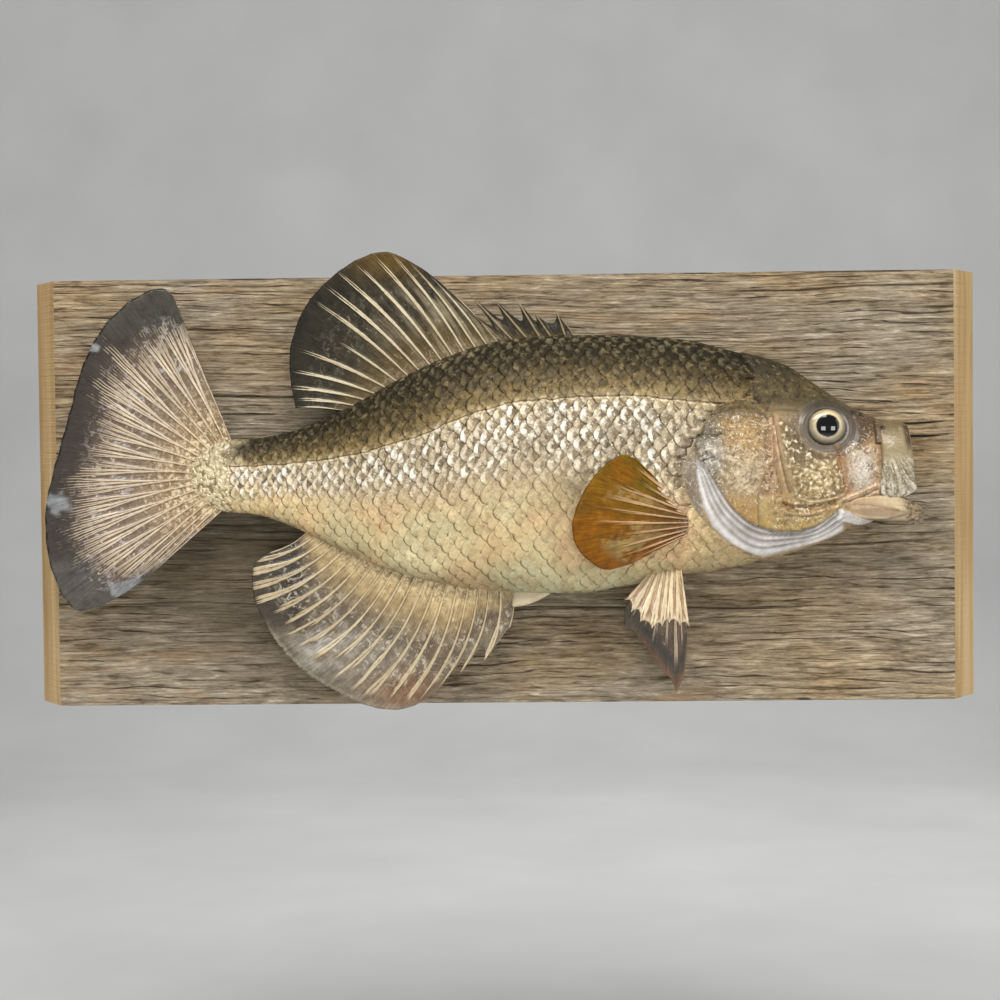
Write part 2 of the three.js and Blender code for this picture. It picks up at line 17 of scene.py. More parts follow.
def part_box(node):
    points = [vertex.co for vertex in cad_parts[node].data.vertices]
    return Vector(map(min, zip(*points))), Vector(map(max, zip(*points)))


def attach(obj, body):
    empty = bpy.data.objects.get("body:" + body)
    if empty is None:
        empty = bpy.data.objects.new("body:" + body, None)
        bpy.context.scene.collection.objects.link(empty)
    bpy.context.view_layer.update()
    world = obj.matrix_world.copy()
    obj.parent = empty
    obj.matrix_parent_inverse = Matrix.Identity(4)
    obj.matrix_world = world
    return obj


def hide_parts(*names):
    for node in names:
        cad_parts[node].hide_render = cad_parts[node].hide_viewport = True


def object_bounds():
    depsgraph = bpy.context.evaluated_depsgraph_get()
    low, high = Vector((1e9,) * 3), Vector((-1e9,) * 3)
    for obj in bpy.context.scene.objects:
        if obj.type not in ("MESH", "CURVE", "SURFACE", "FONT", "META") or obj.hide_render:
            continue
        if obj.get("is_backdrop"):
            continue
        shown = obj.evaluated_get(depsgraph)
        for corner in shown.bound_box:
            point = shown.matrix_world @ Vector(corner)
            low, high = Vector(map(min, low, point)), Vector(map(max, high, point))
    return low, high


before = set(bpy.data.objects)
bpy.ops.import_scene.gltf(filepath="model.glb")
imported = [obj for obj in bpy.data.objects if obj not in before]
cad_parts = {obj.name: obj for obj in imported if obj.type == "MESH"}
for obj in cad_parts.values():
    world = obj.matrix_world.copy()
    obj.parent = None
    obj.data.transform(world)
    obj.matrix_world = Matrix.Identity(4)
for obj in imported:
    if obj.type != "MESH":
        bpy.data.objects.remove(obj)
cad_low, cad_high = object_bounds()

MM = 0.001
BOARD_LOW, BOARD_HIGH = [Vector(corner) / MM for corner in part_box("board")]
print("board", [round(v) for v in BOARD_HIGH - BOARD_LOW], "mm; nodes", len(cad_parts))

# %% [markdown]
# ## Lines, colours and finishes
# A fish has no straight lines, so its shape is told by smooth lines through a few measured points. The
# helpers here draw such lines, turn everyday 0-255 colours into the linear ones that a renderer adds
# up, and keep the making of a finish down to a few words. They work on whole arrays, because a skin
# has tens of thousands of places to work out.

# %% Lines and colours
def smooth_line(points):
    """A smooth line through (x, value, ...) rows; gives the value in one column at any x."""
    rows = np.array(points, float)
    xs = rows[:, 0]
    before = np.vstack([rows[:1], rows[:-1]])
    after = np.vstack([rows[1:], rows[-1:]])
    slopes = (after - before) / (after[:, :1] - before[:, :1])

    def at(x, column=1):
        i = np.clip(np.searchsorted(xs, x) - 1, 0, len(xs) - 2)
        span = xs[i + 1] - xs[i]
        t = np.clip((x - xs[i]) / span, 0, 1)
        start, end = rows[i, column], rows[i + 1, column]
        bend = slopes[:, column]
        return (
            (2 * t**3 - 3 * t**2 + 1) * start
            + (t**3 - 2 * t**2 + t) * span * bend[i]
            + (3 * t**2 - 2 * t**3) * end
            + (t**3 - t**2) * span * bend[i + 1]
        )

    return at


def section_of(line, x):
    """The top, the bottom and the half width of a hollow, from a line that gives all three."""
    return [line(x, column) for column in (1, 2, 3)]


def curve_through(points, even=False):
    """A smooth curve through points; gives the place at any share of it, by point or evenly by length."""
    knots = np.array(points, float)
    padded = np.vstack([2 * knots[0] - knots[1], knots, 2 * knots[-1] - knots[-2]])

    def by_point(share):
        along = np.clip(np.asarray(share, float), 0, 1) * (len(knots) - 1)
        i = np.minimum(along.astype(int), len(knots) - 2)
        t = (along - i)[..., None]
        a, b, c, d = padded[i], padded[i + 1], padded[i + 2], padded[i + 3]
        bent = (2 * a - 5 * b + 4 * c - d) * t**2 + (3 * b - a - 3 * c + d) * t**3
        return b + ((c - a) * t + bent) / 2

    if not even:
        return by_point
    ticks = np.linspace(0, 1, 400)
    steps = np.linalg.norm(np.diff(by_point(ticks), axis=0), axis=1)
    run = np.concatenate([[0], np.cumsum(steps)])
    return lambda share: by_point(np.interp(share, run / run[-1], ticks))


def smooth(value):
    """0 below 0, 1 above 1, and an easy S between."""
    t = np.clip(value, 0, 1)
    return t * t * (3 - 2 * t)


def hill(value, middle, width):
    """1 at the middle, falling softly to 0 on both sides."""
    return np.exp(-(((value - middle) / width) ** 2))


def colour(red, green, blue):
    """A 0-255 colour as the linear red, green and blue that shaders take."""
    parts = np.array([red, green, blue]) / 255
    return tuple(np.where(parts <= 0.04045, parts / 12.92, ((parts + 0.055) / 1.055) ** 2.4))


def opaque(red, green, blue):
    """A 0-255 colour as a colour socket takes it, with nothing see-through."""
    return (*colour(red, green, blue), 1)


def mixed(under, over, share):
    """Lays one colour over an array of colours, by a share for each place."""
    return under + (np.array(over) - under) * np.asarray(share)[..., None]


def dab(paint, tint, share):
    """Lays one 0-255 colour over an array of colours."""
    return mixed(paint, colour(*tint), share)


def stops(share, *pairs):
    """Colours along a share from (place, colour) pairs."""
    places, tints = zip(*pairs)
    tints = np.array([colour(*tint) for tint in tints])
    return np.column_stack([np.interp(share, places, tints[:, k]) for k in range(3)])


# %% Making finishes
def plug(node, sources):
    """Joins or sets a node's inputs."""
    for key, value in sources.items():
        if isinstance(value, bpy.types.NodeSocket):
            node.id_data.links.new(value, node.inputs[key])
        else:
            node.inputs[key].default_value = value


def new_finish(name, plain):
    """A material with its plain sockets set; returns the material, its node tree and its shader."""
    material = bpy.data.materials.new(name)
    material.use_nodes = True
    shader = material.node_tree.nodes["Principled BSDF"]
    plug(shader, plain)
    return material, material.node_tree, shader


def add(tree, kind, inputs=None, **settings):
    """Adds a node, sets it up, and joins or sets its inputs."""
    node = tree.nodes.new("ShaderNode" + kind)
    for key, value in settings.items():
        setattr(node, key, value)
    plug(node, inputs or {})
    return node


def tree_of(*values):
    """The node tree that holds a sum's sockets; the other values are plain numbers or colours."""
    return next(value.id_data for value in values if isinstance(value, bpy.types.NodeSocket))


def ramp(factor, tints):
    """Colours by a factor: tints are (place, colour)."""
    node = add(factor.id_data, "ValToRGB", {0: factor})
    keys = node.color_ramp.elements
    while len(keys) < len(tints):
        keys.new(0.5)
    for key, (place, tint) in zip(keys, tints):
        key.position = place
        key.color = (*tint, 1)
    return node.outputs[0]


def between(factor, low, high, to_low=0.0, to_high=1.0):
    """A factor's stretch from low to high, moved to another stretch and held there."""
    inputs = {"Value": factor, 1: low, 2: high, 3: to_low, 4: to_high}
    return add(factor.id_data, "MapRange", inputs).outputs[0]


def blend(factor, first, second, mode="MIX"):
    """One colour laid over another."""
    tree = tree_of(factor, first, second)
    return add(tree, "Mix", {0: factor, 6: first, 7: second}, data_type="RGBA", blend_type=mode).outputs[2]


def sums(kind, first, second=0.0):
    """A sum on two numbers."""
    return add(tree_of(first, second), "Math", {0: first, 1: second}, operation=kind).outputs[0]


def times(first, *others):
    """Any few numbers multiplied together."""
    for other in others:
        first = sums("MULTIPLY", first, other)
    return first


def plus(first, second):
    """Two numbers added."""
    return sums("ADD", first, second)


def minus(first, second):
    """One number taken from another."""
    return sums("SUBTRACT", first, second)


def daub(base, mask, strength, tint):
    """A tint laid on where a mask says, at some strength."""
    return blend(times(mask, strength), base, opaque(*tint))


def grain(tree, scale, detail=3.0, stretch=(1, 1, 1), rough=0.55, warp=0.0):
    """Noise laid over the object's own coordinates, stretched by its scale on each axis."""
    place = add(tree, "TexCoord").outputs["Object"]
    mapped = add(tree, "Mapping", {0: place, 3: stretch}).outputs[0]
    inputs = {"Vector": mapped, "Scale": scale, "Detail": detail, "Roughness": rough, "Distortion": warp}
    return add(tree, "TexNoise", inputs).outputs["Fac"]


def stored(tree, name, kind="Fac"):
    """A number, or a colour, that the mesh holds for each of its points."""
    return add(tree, "Attribute", attribute_name=name).outputs[kind]


def bump(shader, height, distance, strength=1.0):
    """Dents the shading by a height; distance is in millimetres."""
    inputs = {"Height": height, "Distance": distance * MM, "Strength": strength}
    plug(shader, {"Normal": add(shader.id_data, "Bump", inputs).outputs[0]})


# %% [markdown]
# ## Camera, floor and light
# The board hangs at eye height and is seen almost square on, from a hand's breadth right of its middle
# and a little above it. The lens is long, so the fish isn't drawn out of shape. A pale sweep stands well
# behind the board, so that it stays out of the way when the model is looked at from the back. A wide
# soft lamp above and in front gives the fish its bright shoulder and a dark, soft shadow below it.

# %% Camera
EYE_POINT = (20.77, -854.5, 20.85)
TURN, DIP, LEAN = 0.02643, -0.03027, 0.01113
LENS = 70.02

link = bpy.context.scene.collection.objects.link
camera = bpy.data.objects.new("camera", bpy.data.cameras.new("camera"))
camera.data.lens = LENS
facing = Matrix.Rotation(TURN, 3, "Z") @ Matrix.Rotation(DIP, 3, "X") @ Matrix.Rotation(LEAN, 3, "Y")
camera.matrix_world = (facing @ Matrix.Rotation(math.pi / 2, 3, "X")).to_4x4()
camera.location = Vector(EYE_POINT) * MM
link(camera)
bpy.context.scene.camera = camera
bpy.context.scene.view_settings.view_transform = "Standard"
print("camera at", EYE_POINT)


# %% Floor and sweep
FLOOR_Z = -330
SWEEP_START, SWEEP_RADIUS, SWEEP_TOP = 1200, 500, 2600
FLOOR_HALF, FLOOR_FRONT = 2600, -3000


def mesh_piece(name, shape):
    """Writes a bmesh made in millimetres to a new object at the origin, in metres."""
    shape.transform(Matrix.Scale(MM, 4))
    mesh = bpy.data.meshes.new(name)
    shape.to_mesh(mesh)
    shape.free()
    piece = bpy.data.objects.new(name, mesh)
    link(piece)
    return piece


def close_up(shape):
    """Fills what is open and turns every face the right way out."""
    bmesh.ops.holes_fill(shape, edges=[e for e in shape.edges if e.is_boundary], sides=0)
    bmesh.ops.recalc_face_normals(shape, faces=shape.faces)


def sweep():
    """A floor that curves up into a back wall: a line drawn along, round and up."""
    shape = bmesh.new()
    corners = [shape.verts.new((x, FLOOR_FRONT, FLOOR_Z)) for x in (-FLOOR_HALF, FLOOR_HALF)]
    edge = [shape.edges.new(corners)]
    for move in ((0, SWEEP_START - FLOOR_FRONT, 0), None, (0, 0, SWEEP_TOP)):
        if move:
            made = bmesh.ops.extrude_edge_only(shape, edges=edge)["geom"]
            fresh = [part for part in made if isinstance(part, bmesh.types.BMVert)]
            bmesh.ops.translate(shape, verts=fresh, vec=move)
        else:
            centre = (0, SWEEP_START, FLOOR_Z + SWEEP_RADIUS)
            made = bmesh.ops.spin(
                shape, geom=edge, cent=centre, axis=(1, 0, 0), angle=math.pi / 2, steps=16, use_merge=False
            )["geom_last"]
        edge = [part for part in made if isinstance(part, bmesh.types.BMEdge)][:1]
    piece = mesh_piece("pale_sweep", shape)
    piece.data.shade_smooth()
    return piece


backdrop = sweep()
paper, paper_tree, paper_shader = new_finish("pale_paper", {"Roughness": 0.9})
paper_tints = [(0.3, colour(214, 214, 212)), (0.7, colour(224, 224, 222))]
mottle = ramp(grain(paper_tree, 6), paper_tints)
plug(paper_shader, {"Base Color": mottle})
backdrop.data.materials.append(paper)
backdrop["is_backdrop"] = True
print("sweep made")

# %% Lamps
LAMPS = {
    "key_softbox": {"at": (-120, -1100, 1050), "size": (1300, 500), "power": 21.0},
    "side_softbox": {"at": (1300, -900, 250), "size": (700, 900), "power": 3.6},
    "front_fill": {"at": (-700, -1500, 100), "size": (1200, 1200), "power": 3.2},
    "window_left": {"at": (290, -1260, 10), "size": (210, 210), "power": 1.5},
    "window_right": {"at": (740, -1130, 10), "size": (210, 210), "power": 1.5},
    "back_fill": {"at": (300, 1100, 700), "size": (1000, 700), "power": 6.0},
}
LAMP_TARGET = Vector((0, -20, 0))

for lamp_name, facts in LAMPS.items():
    light = bpy.data.lights.new(lamp_name, "AREA")
    light.shape = "RECTANGLE"
    light.size, light.size_y = [side * MM for side in facts["size"]]
    light.energy = facts["power"]
    lamp = bpy.data.objects.new(lamp_name, light)
    lamp.location = Vector(facts["at"]) * MM
    lamp.rotation_euler = (lamp.location - LAMP_TARGET * MM).to_track_quat("Z", "Y").to_euler()
    lamp.visible_camera = False
    link(lamp)

world = bpy.data.worlds.new("studio")
world.use_nodes = True
world.node_tree.nodes["Background"].inputs["Color"].default_value = (0.95, 0.97, 1.0, 1)
world.node_tree.nodes["Background"].inputs["Strength"].default_value = 0.24
bpy.context.scene.world = world
print("lamps", list(LAMPS))

# %% [markdown]
# ## Wrapping a grid
# Most of the fish is one kind of shape: a closed skin. A flat grid, wrapped round a form, makes it, and
# where the grid's edges meet they are merged. A thin thing such as a fin is the same grid pressed flat:
# out along one face and back along the other, meeting at a sharp rim. So one helper wraps, and a
# second one tells it how a blade is wrapped. Numbers such as a place's colour ride on the points.

# %% Skins and blades
RIM_STEP = 1e-3


def write_layers(shape, layers):
    """Stores numbers (one column) or colours (three) on the points of a bmesh."""
    for name, values in layers.items():
        if values.ndim == 1:
            layer = shape.verts.layers.float.new(name)
            for vert, value in zip(shape.verts, values):
                vert[layer] = value
        else:
            layer = shape.verts.layers.float_color.new(name)
            for vert, value in zip(shape.verts, values):
                vert[layer] = (*value, 1)


def wrapped(name, around, along, place):
    """A closed skin: place(turn, run) gives each grid point its spot and its stored numbers."""
    shape = bmesh.new()
    shape.loops.layers.uv.new("OFBake")
    bmesh.ops.create_grid(shape, x_segments=around, y_segments=along, size=0.5, calc_uvs=True)
    flat = np.array([vert.co[:2] for vert in shape.verts]) + 0.5
    spots, layers = place(flat[:, 0], flat[:, 1])
    write_layers(shape, layers)
    for vert, spot in zip(shape.verts, spots):
        vert.co = spot
    bmesh.ops.remove_doubles(shape, verts=shape.verts, dist=1e-5)
    bmesh.ops.recalc_face_normals(shape, faces=shape.faces)
    piece = mesh_piece(name, shape)
    piece.data.shade_smooth()
    return piece


def facing_of(sheet, u, v):
    """The direction that a sheet faces at each place."""
    lengthwise = sheet(np.minimum(u + RIM_STEP, 1), v) - sheet(np.maximum(u - RIM_STEP, 0), v)
    crosswise = sheet(u, np.minimum(v + RIM_STEP, 1)) - sheet(u, np.maximum(v - RIM_STEP, 0))
    normal = np.cross(lengthwise, crosswise)
    return normal / np.maximum(np.linalg.norm(normal, axis=1), 1e-9)[:, None]


def blade(name, columns, rows, sheet, dress, base=None):
    """A thin closed piece on both sides of sheet(u, v); dress(u, v) gives its offset and layers."""

    def place(turn, run):
        u = 1 - np.abs(2 * turn - 1)
        side = np.where(turn < 0.5, -1.0, 1.0)
        offset, layers = dress(u, run)
        at_rim = (u < 1e-6) | (u > 1 - 1e-6) | (run < 1e-6) | (run > 1 - 1e-6)
        offset = np.where(at_rim, 0, offset)
        normal = facing_of(base or sheet, u, run)
        return sheet(u, run) + normal * (side * offset)[:, None], layers

    return wrapped(name, columns * 2, rows, place)


def dress_piece(piece, material, slot, *nodes):
    """Gives a piece its finish, hangs it on the root body and hides the imported nodes that it stands for."""
    piece.data.materials.append(material)
    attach(piece, "root")
    if nodes:
        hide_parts(*nodes)
    print(piece.name, len(piece.data.polygons), "faces")


# %% [markdown]
# ## The board
# It is an old plank, silver-brown and split along its grain by years of weather. The two ends were sawn
# fresh, at a slant, so they are smooth and yellow. The splits are real dents in a fine grid, because
# they throw shadows of their own. Each is a short wavy line with a depth and a width. Its back is flat
# and keeps the pocket for the hanger and the holes for the two screws that hold the fish.

# %% The plank's splits
BOARD = {"half_height": 92, "front": -19, "front_half": 193, "back_half": 205}
SPLIT_GAP = (5, 12)
SPLIT_RUN = (25, 170)
SPLIT_REACH = 4
LONG_SPLITS = [(22, 150, 193, 1.7, 0.5), (27.5, 158, 193, 1.3, 0.4), (-24, 60, 193, 0.8, 0.4)]
chance = np.random.default_rng(11)


def plank_splits():
    """Rows of (z, from x, to x, depth, width) for every split in the weathered face."""
    rows = list(LONG_SPLITS)
    z = -BOARD["half_height"]
    while z < BOARD["half_height"]:
        z += chance.uniform(*SPLIT_GAP)
        x = -BOARD["front_half"] + chance.uniform(-60, 20)
        while x < BOARD["front_half"]:
            run = chance.uniform(*SPLIT_RUN)
            deep = chance.random() ** 2.2
            rows.append((z + chance.normal(0, 0.4), x, x + run, 0.15 + 0.8 * deep, 0.24 + 0.26 * deep))
            x += run + chance.uniform(0, 60)
    return rows


SPLITS = plank_splits()


def grain_level(x, z):
    """The grain line that a place on the plank lies on: the lines wander a little in height."""
    wander = 1.7 * np.sin(x / 74 + 0.6) + 0.6 * np.sin(x / 29 + z / 17) + 0.3 * np.sin(x / 8 + z / 5)
    return z + wander


def split_depth(x, z):
    """How deep the plank is split at each place."""
    level = grain_level(x, z)
    deepest = np.zeros(len(x))
    for middle, start, end, depth, width in SPLITS:
        close = np.abs(level - middle) < 4 * width
        across = (level[close] - middle) / width
        ends = smooth((x[close] - start) / 14) * smooth((end - x[close]) / 14)
        deepest[close] = np.maximum(deepest[close], depth * ends * np.exp(-(across**2)))
    return deepest


print(len(SPLITS), "splits")


# %% The plank
PLANK_GRID = (200, 400)
WORN_EDGE, WORN_DEPTH, FACE_INSET = 6, 1.1, 0.3
POCKET = {"size": (54, 10.8, 20), "z": 61}
SCREWS = {"screw_head_side": (80, 6), "screw_tail_side": (-45, 6)}
SCREW_HOLE = [(4.5, 2.7), (2.2, 18.2)]  # radius and depth of the head's step and of the shank's


def plank_shape():
    """The plank: a split and rippled face, drawn back to a flat and wider back."""
    shape = bmesh.new()
    bmesh.ops.create_grid(shape, x_segments=PLANK_GRID[0], y_segments=PLANK_GRID[1], size=1)
    flat = np.array([vert.co[:2] for vert in shape.verts])
    x, z = flat[:, 0] * BOARD["front_half"], flat[:, 1] * BOARD["half_height"]
    level = grain_level(x, z)
    ripple = 0.16 * np.sin(level * 2.1) + 0.12 * np.sin(level * 4.7 + x / 40)
    edge = np.minimum(BOARD["half_height"] - np.abs(z), WORN_EDGE) / WORN_EDGE
    corner = WORN_DEPTH * (1 - edge) ** 2
    y = BOARD["front"] + FACE_INSET + split_depth(x, z) + ripple + corner
    for vert, spot in zip(shape.verts, np.column_stack([x, y, z])):
        vert.co = spot
    rim = [e for e in shape.edges if e.is_boundary]
    made = bmesh.ops.extrude_edge_only(shape, edges=rim)["geom"]
    for vert in [v for v in made if isinstance(v, bmesh.types.BMVert)]:
        vert.co.x *= BOARD["back_half"] / BOARD["front_half"]
        vert.co.y = 0
    close_up(shape)
    return mesh_piece("weathered_plank", shape)


def back_cuts():
    """The pocket behind the hanger and the stepped screw holes, as one closed cutting shape each."""
    shape = bmesh.new()
    bmesh.ops.create_cube(shape, size=1)
    bmesh.ops.scale(shape, verts=shape.verts, vec=POCKET["size"])
    bmesh.ops.translate(shape, verts=shape.verts, vec=(0, 0, POCKET["z"]))
    cuts = [mesh_piece("pocket_cut", shape)]
    for name, (x, z) in SCREWS.items():
        for radius, depth in SCREW_HOLE:
            shape = bmesh.new()
            bmesh.ops.create_cone(
                shape, cap_ends=True, segments=32, radius1=radius, radius2=radius, depth=depth * 2
            )
            bmesh.ops.rotate(shape, verts=shape.verts, matrix=Matrix.Rotation(math.pi / 2, 3, "X"))
            bmesh.ops.translate(shape, verts=shape.verts, vec=(x, 0, z))
            cuts.append(mesh_piece(f"{name}_cut_{radius:.0f}", shape))
    return cuts


def carve(piece, cuts):
    """Takes the cutting shapes out of a piece for good."""
    for cut in cuts:
        modifier = piece.modifiers.new(cut.name, "BOOLEAN")
        modifier.operation = "DIFFERENCE"
        modifier.object = cut
    bpy.context.view_layer.update()
    ready = piece.evaluated_get(bpy.context.evaluated_depsgraph_get())
    piece.data = bpy.data.meshes.new_from_object(ready)
    piece.modifiers.clear()
    for cut in cuts:
        bpy.data.objects.remove(cut)


plank = plank_shape()
carve(plank, back_cuts())
plank_spots = np.zeros(len(plank.data.vertices) * 3)
plank.data.vertices.foreach_get("co", plank_spots)
plank_spots = plank_spots.reshape(-1, 3) / MM
on_front = plank_spots[:, 1] < BOARD["front"] + SPLIT_REACH
split_layer = plank.data.attributes.new("split", "FLOAT", "POINT")
split_layer.data.foreach_set("value", split_depth(plank_spots[:, 0], plank_spots[:, 2]) * on_front)

# %% [markdown]
# ### Weathered and fresh wood
# Grey wood is a mix: pale silvery fibres, brown where it is still sound, near black in the splits, which
# are darkened the more the deeper they are as painted shade. Long stretched noise gives fibres that run
# with the board, a slower noise gives warm and grey patches, and one dark patch under the tail's root is
# a painted shadow of the fish. The sawn ends are a second finish on the same plank, yellow with fine pale
# streaks.

# %% Wood finishes
CRACK_GAP = 3.9
# The middle of the painted shadow that the fish throws on the board under its tail's root, in metres.
TAIL_SHADOW_SPOT = (-0.118, -0.019, -0.038)


def weathered_fibres(tree):
    """The colour and the height of the weathered fibres, grey here and brown there."""
    fibre = grain(tree, 560, 5, (0.13, 1, 1), 0.72, 0.5)
    hair = grain(tree, 1500, 3, (0.2, 1, 1), 0.6)
    patch = grain(tree, 24, 3, (0.4, 1, 1), 0.6, 0.6)
    warm = grain(tree, 46, 3, (0.22, 1, 1), 0.6, 0.4)
    grey = ramp(fibre, [(0.34, colour(88, 76, 58)), (0.46, colour(134, 121, 101)),
                        (0.58, colour(160, 147, 125)), (0.7, colour(204, 190, 168))])
    brown = ramp(fibre, [(0.34, colour(88, 70, 46)), (0.48, colour(144, 122, 90)),
                         (0.66, colour(186, 162, 124))])
    base = blend(between(patch, 0.42, 0.66), grey, brown)
    base = blend(between(warm, 0.6, 0.74, 0, 0.5), base, opaque(178, 140, 98))
    fine = ramp(hair, [(0.3, (0.74, 0.73, 0.72)), (0.6, (1.06, 1.06, 1.06))])
    return blend(0.7, base, fine, "MULTIPLY"), plus(fibre, times(hair, 0.5))


def hairline_cracks(tree, axes):
    """1 in the thin dark cracks, which wander along the board on its face and on its edges."""
    level = plus(axes["Z"], times(axes["Y"], -4 * CRACK_GAP / BOARD["front"]))
    for scale, stretch, sway in ((9, 0.5, 9), (40, 0.3, 3), (160, 0.3, 1.0)):
        wander = between(grain(tree, scale, 2, (stretch, 0, 1)), 0, 1, -sway * MM, sway * MM)
        level = plus(level, wander)
    gap = sums("PINGPONG", level, CRACK_GAP / 2 * MM)
    thick = between(grain(tree, 110, 3, (0.35, 0.3, 1), 0.6), 0.42, 0.68, -0.18 * MM, 0.3 * MM)
    return between(minus(gap, thick), 0.16 * MM, -0.04 * MM)


def weathered_wood():
    """Grey fibres, a painted shadow under the tail's root, thin cracks and the deep splits in painted shade.
    """
    material, tree, shader = new_finish("weathered_wood", {"Roughness": 0.85, "Specular IOR Level": 0.25})
    base, height = weathered_fibres(tree)
    place = add(tree, "TexCoord").outputs["Object"]
    # Painted shadow: the board is darkened round a spot under the tail's root, where the fish shades it.
    damp_and_shadow = add(tree, "VectorMath", {0: place, 1: TAIL_SHADOW_SPOT}, operation="DISTANCE").outputs["Value"]
    base = blend(between(damp_and_shadow, 0.052, 0.02, 0, 0.66), base, opaque(70, 60, 46))
    crack = hairline_cracks(tree, add(tree, "SeparateXYZ", {0: place}).outputs)
    base = daub(base, crack, 0.82, (52, 41, 32))
    # Painted shade in the splits: the deeper a split, the nearer black it is painted.
    split = between(stored(tree, "split"), 0.12, 0.9, 0, 0.85)
    base = blend(split, base, opaque(40, 32, 26))
    plug(shader, {"Base Color": base})
    bump(shader, minus(height, crack), 0.7, 0.8)
    return material


def fresh_wood():
    """Yellow softwood as the saw left it."""
    material, tree, shader = new_finish("fresh_sawn_pine", {"Roughness": 0.6})
    streak = grain(tree, 120, 4, (1, 1, 0.06), 0.6, 0.4)
    knot = grain(tree, 18, 2, (1, 1, 0.4))
    base = ramp(streak, [(0.3, colour(158, 124, 74)), (0.5, colour(190, 158, 106)),
                         (0.75, colour(214, 188, 142))])
    base = blend(between(knot, 0.5, 0.75, 0, 0.5), base, opaque(168, 128, 78))
    plug(shader, {"Base Color": base})
    bump(shader, streak, 0.3, 0.5)
    return material


dress_piece(plank, weathered_wood(), "weathered_wood", "board")
plank.data.materials.append(fresh_wood())
SAWN_SLANT = 0.6
for face in plank.data.polygons:
    if abs(face.normal.x) > SAWN_SLANT and abs(face.center.x) > (BOARD["front_half"] + 0.2) * MM:
        face.material_index = 1
print("plank finished")

# %% [markdown]
# ### Hanger and screws
# The saw-tooth hanger and the two screw heads sit in the back of the plank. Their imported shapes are
# right as they are, so they only get their finish: plated steel, brushed along its length and a little
# dull from the damp.

# %% Steel finish
def plated_steel():
    """Brushed plating with a few dull spots."""
    material, tree, shader = new_finish("plated_steel", {"Metallic": 1.0})
    brush = grain(tree, 300, 3, (0.08, 1, 1), 0.6)
    damp_and_shadow = grain(tree, 60, 3)
    tone = ramp(brush, [(0.3, colour(150, 148, 142)), (0.7, colour(196, 194, 188))])
    spotted = blend(between(damp_and_shadow, 0.58, 0.75, 0, 0.5), tone, opaque(120, 104, 84))
    plug(shader, {"Base Color": spotted, "Roughness": between(damp_and_shadow, 0.3, 0.7, 0.28, 0.48)})
    bump(shader, brush, 0.05)
    return material


steel = plated_steel()
for node_name in ("hanger", *SCREWS):
    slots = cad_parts[node_name].data.materials
    slots.clear()
    slots.append(steel)
print("steel on", 1 + len(SCREWS), "nodes")

# %% [markdown]
# ## The fish's form
# A crappie is a deep, narrow fish. Four smooth lines give its form along the body: the back, the belly,
# half its width and the middle plane, which bends because the mount curves away from the board. Across
# the body each section is an oval, a little flattened at the belly. The form is worked out once, as a
# table of places from the ridge of the back down to the keel of the belly, evenly spaced. Any place on
# a flank is then named by X and by its share of the way down.

# %% Body lines
BACK = [(-134, 8.6), (-131, 14.4), (-125, 19.8), (-118, 23.2), (-104, 23.6), (-86, 27.2), (-64, 36.4),
        (-42, 48.2), (-20, 57.8), (0, 63.3), (30, 65.2), (75, 62.9), (100, 56.8), (118, 51.3), (129, 44.1),
        (141, 35.9), (150, 31), (160, 26.6)]
BELLY = [(-134, 7.4), (-131, 0.7), (-125, -5.2), (-118, -8.3), (-104, -9.4), (-92, -13.2), (-78, -19.6),
         (-60, -28.5), (-36, -36.6), (-8, -41.6), (30, -43.4), (50, -41), (70, -36.6), (92, -34),
         (116, -28.2), (134, -22.3), (146, -16.2), (160, -12)]
HALF_WIDTH = [(-134, 0.9), (-126, 3.2), (-116, 5.4), (-100, 7.4), (-75, 11.6), (-45, 16.6), (-10, 20.6),
              (30, 22), (80, 21.8), (105, 20.2), (122, 17.4), (135, 14.8), (148, 13), (160, 12.4)]
CENTRE = [(-134, -36), (-100, -36.4), (-42, -39), (17, -41), (82, -42), (124, -43), (165, -44)]
LATERAL = [(-134, 11), (-116, 11.6), (-102, 11.8), (-82, 13.2), (-61, 16.3), (-45, 20.2), (-32, 24.1),
           (-20, 29.3), (-8, 33.6), (8, 37.1), (25, 38.1), (41, 39.1), (57, 38.9), (73, 37.1), (90, 35.3),
           (110, 34), (130, 31), (160, 20)]
TOP_ROUNDING, BELLY_ROUNDING = 1.12, 0.86
BOARD_CLEARANCE = 0.3

back_at, belly_at, half_at, centre_at, lateral_at = [
    smooth_line(line) for line in (BACK, BELLY, HALF_WIDTH, CENTRE, LATERAL)
]
STATIONS = np.linspace(BACK[0][0], 157.5, 584)
SHARES = np.linspace(0, 1, 201)
SECTION_STEPS = 1441
WALL_Y = BOARD["front"] - BOARD_CLEARANCE


def flank_tables():
    """Spots on the near flank by station and share, the girth from ridge to keel, and the lateral line."""
    turns = np.linspace(0, math.pi, SECTION_STEPS)
    out = np.sin(turns) ** np.where(np.cos(turns) > 0, TOP_ROUNDING, BELLY_ROUNDING)
    spots, girths, line_shares = [], [], []
    for x in STATIONS:
        top, bottom = back_at(x), belly_at(x)
        y = -half_at(x) * out
        z = (top + bottom) / 2 + (top - bottom) / 2 * np.cos(turns)
        run = np.concatenate([[0], np.cumsum(np.hypot(np.diff(y), np.diff(z)))])
        share = run / run[-1]
        even_y, even_z = [np.interp(SHARES, share, values) for values in (y, z)]
        spots.append(np.column_stack([np.full(len(SHARES), x), even_y, even_z]))
        girths.append(run[-1])
        line_shares.append(np.interp(-lateral_at(x), -z, share))
    return np.array(spots), np.array(girths), np.array(line_shares)


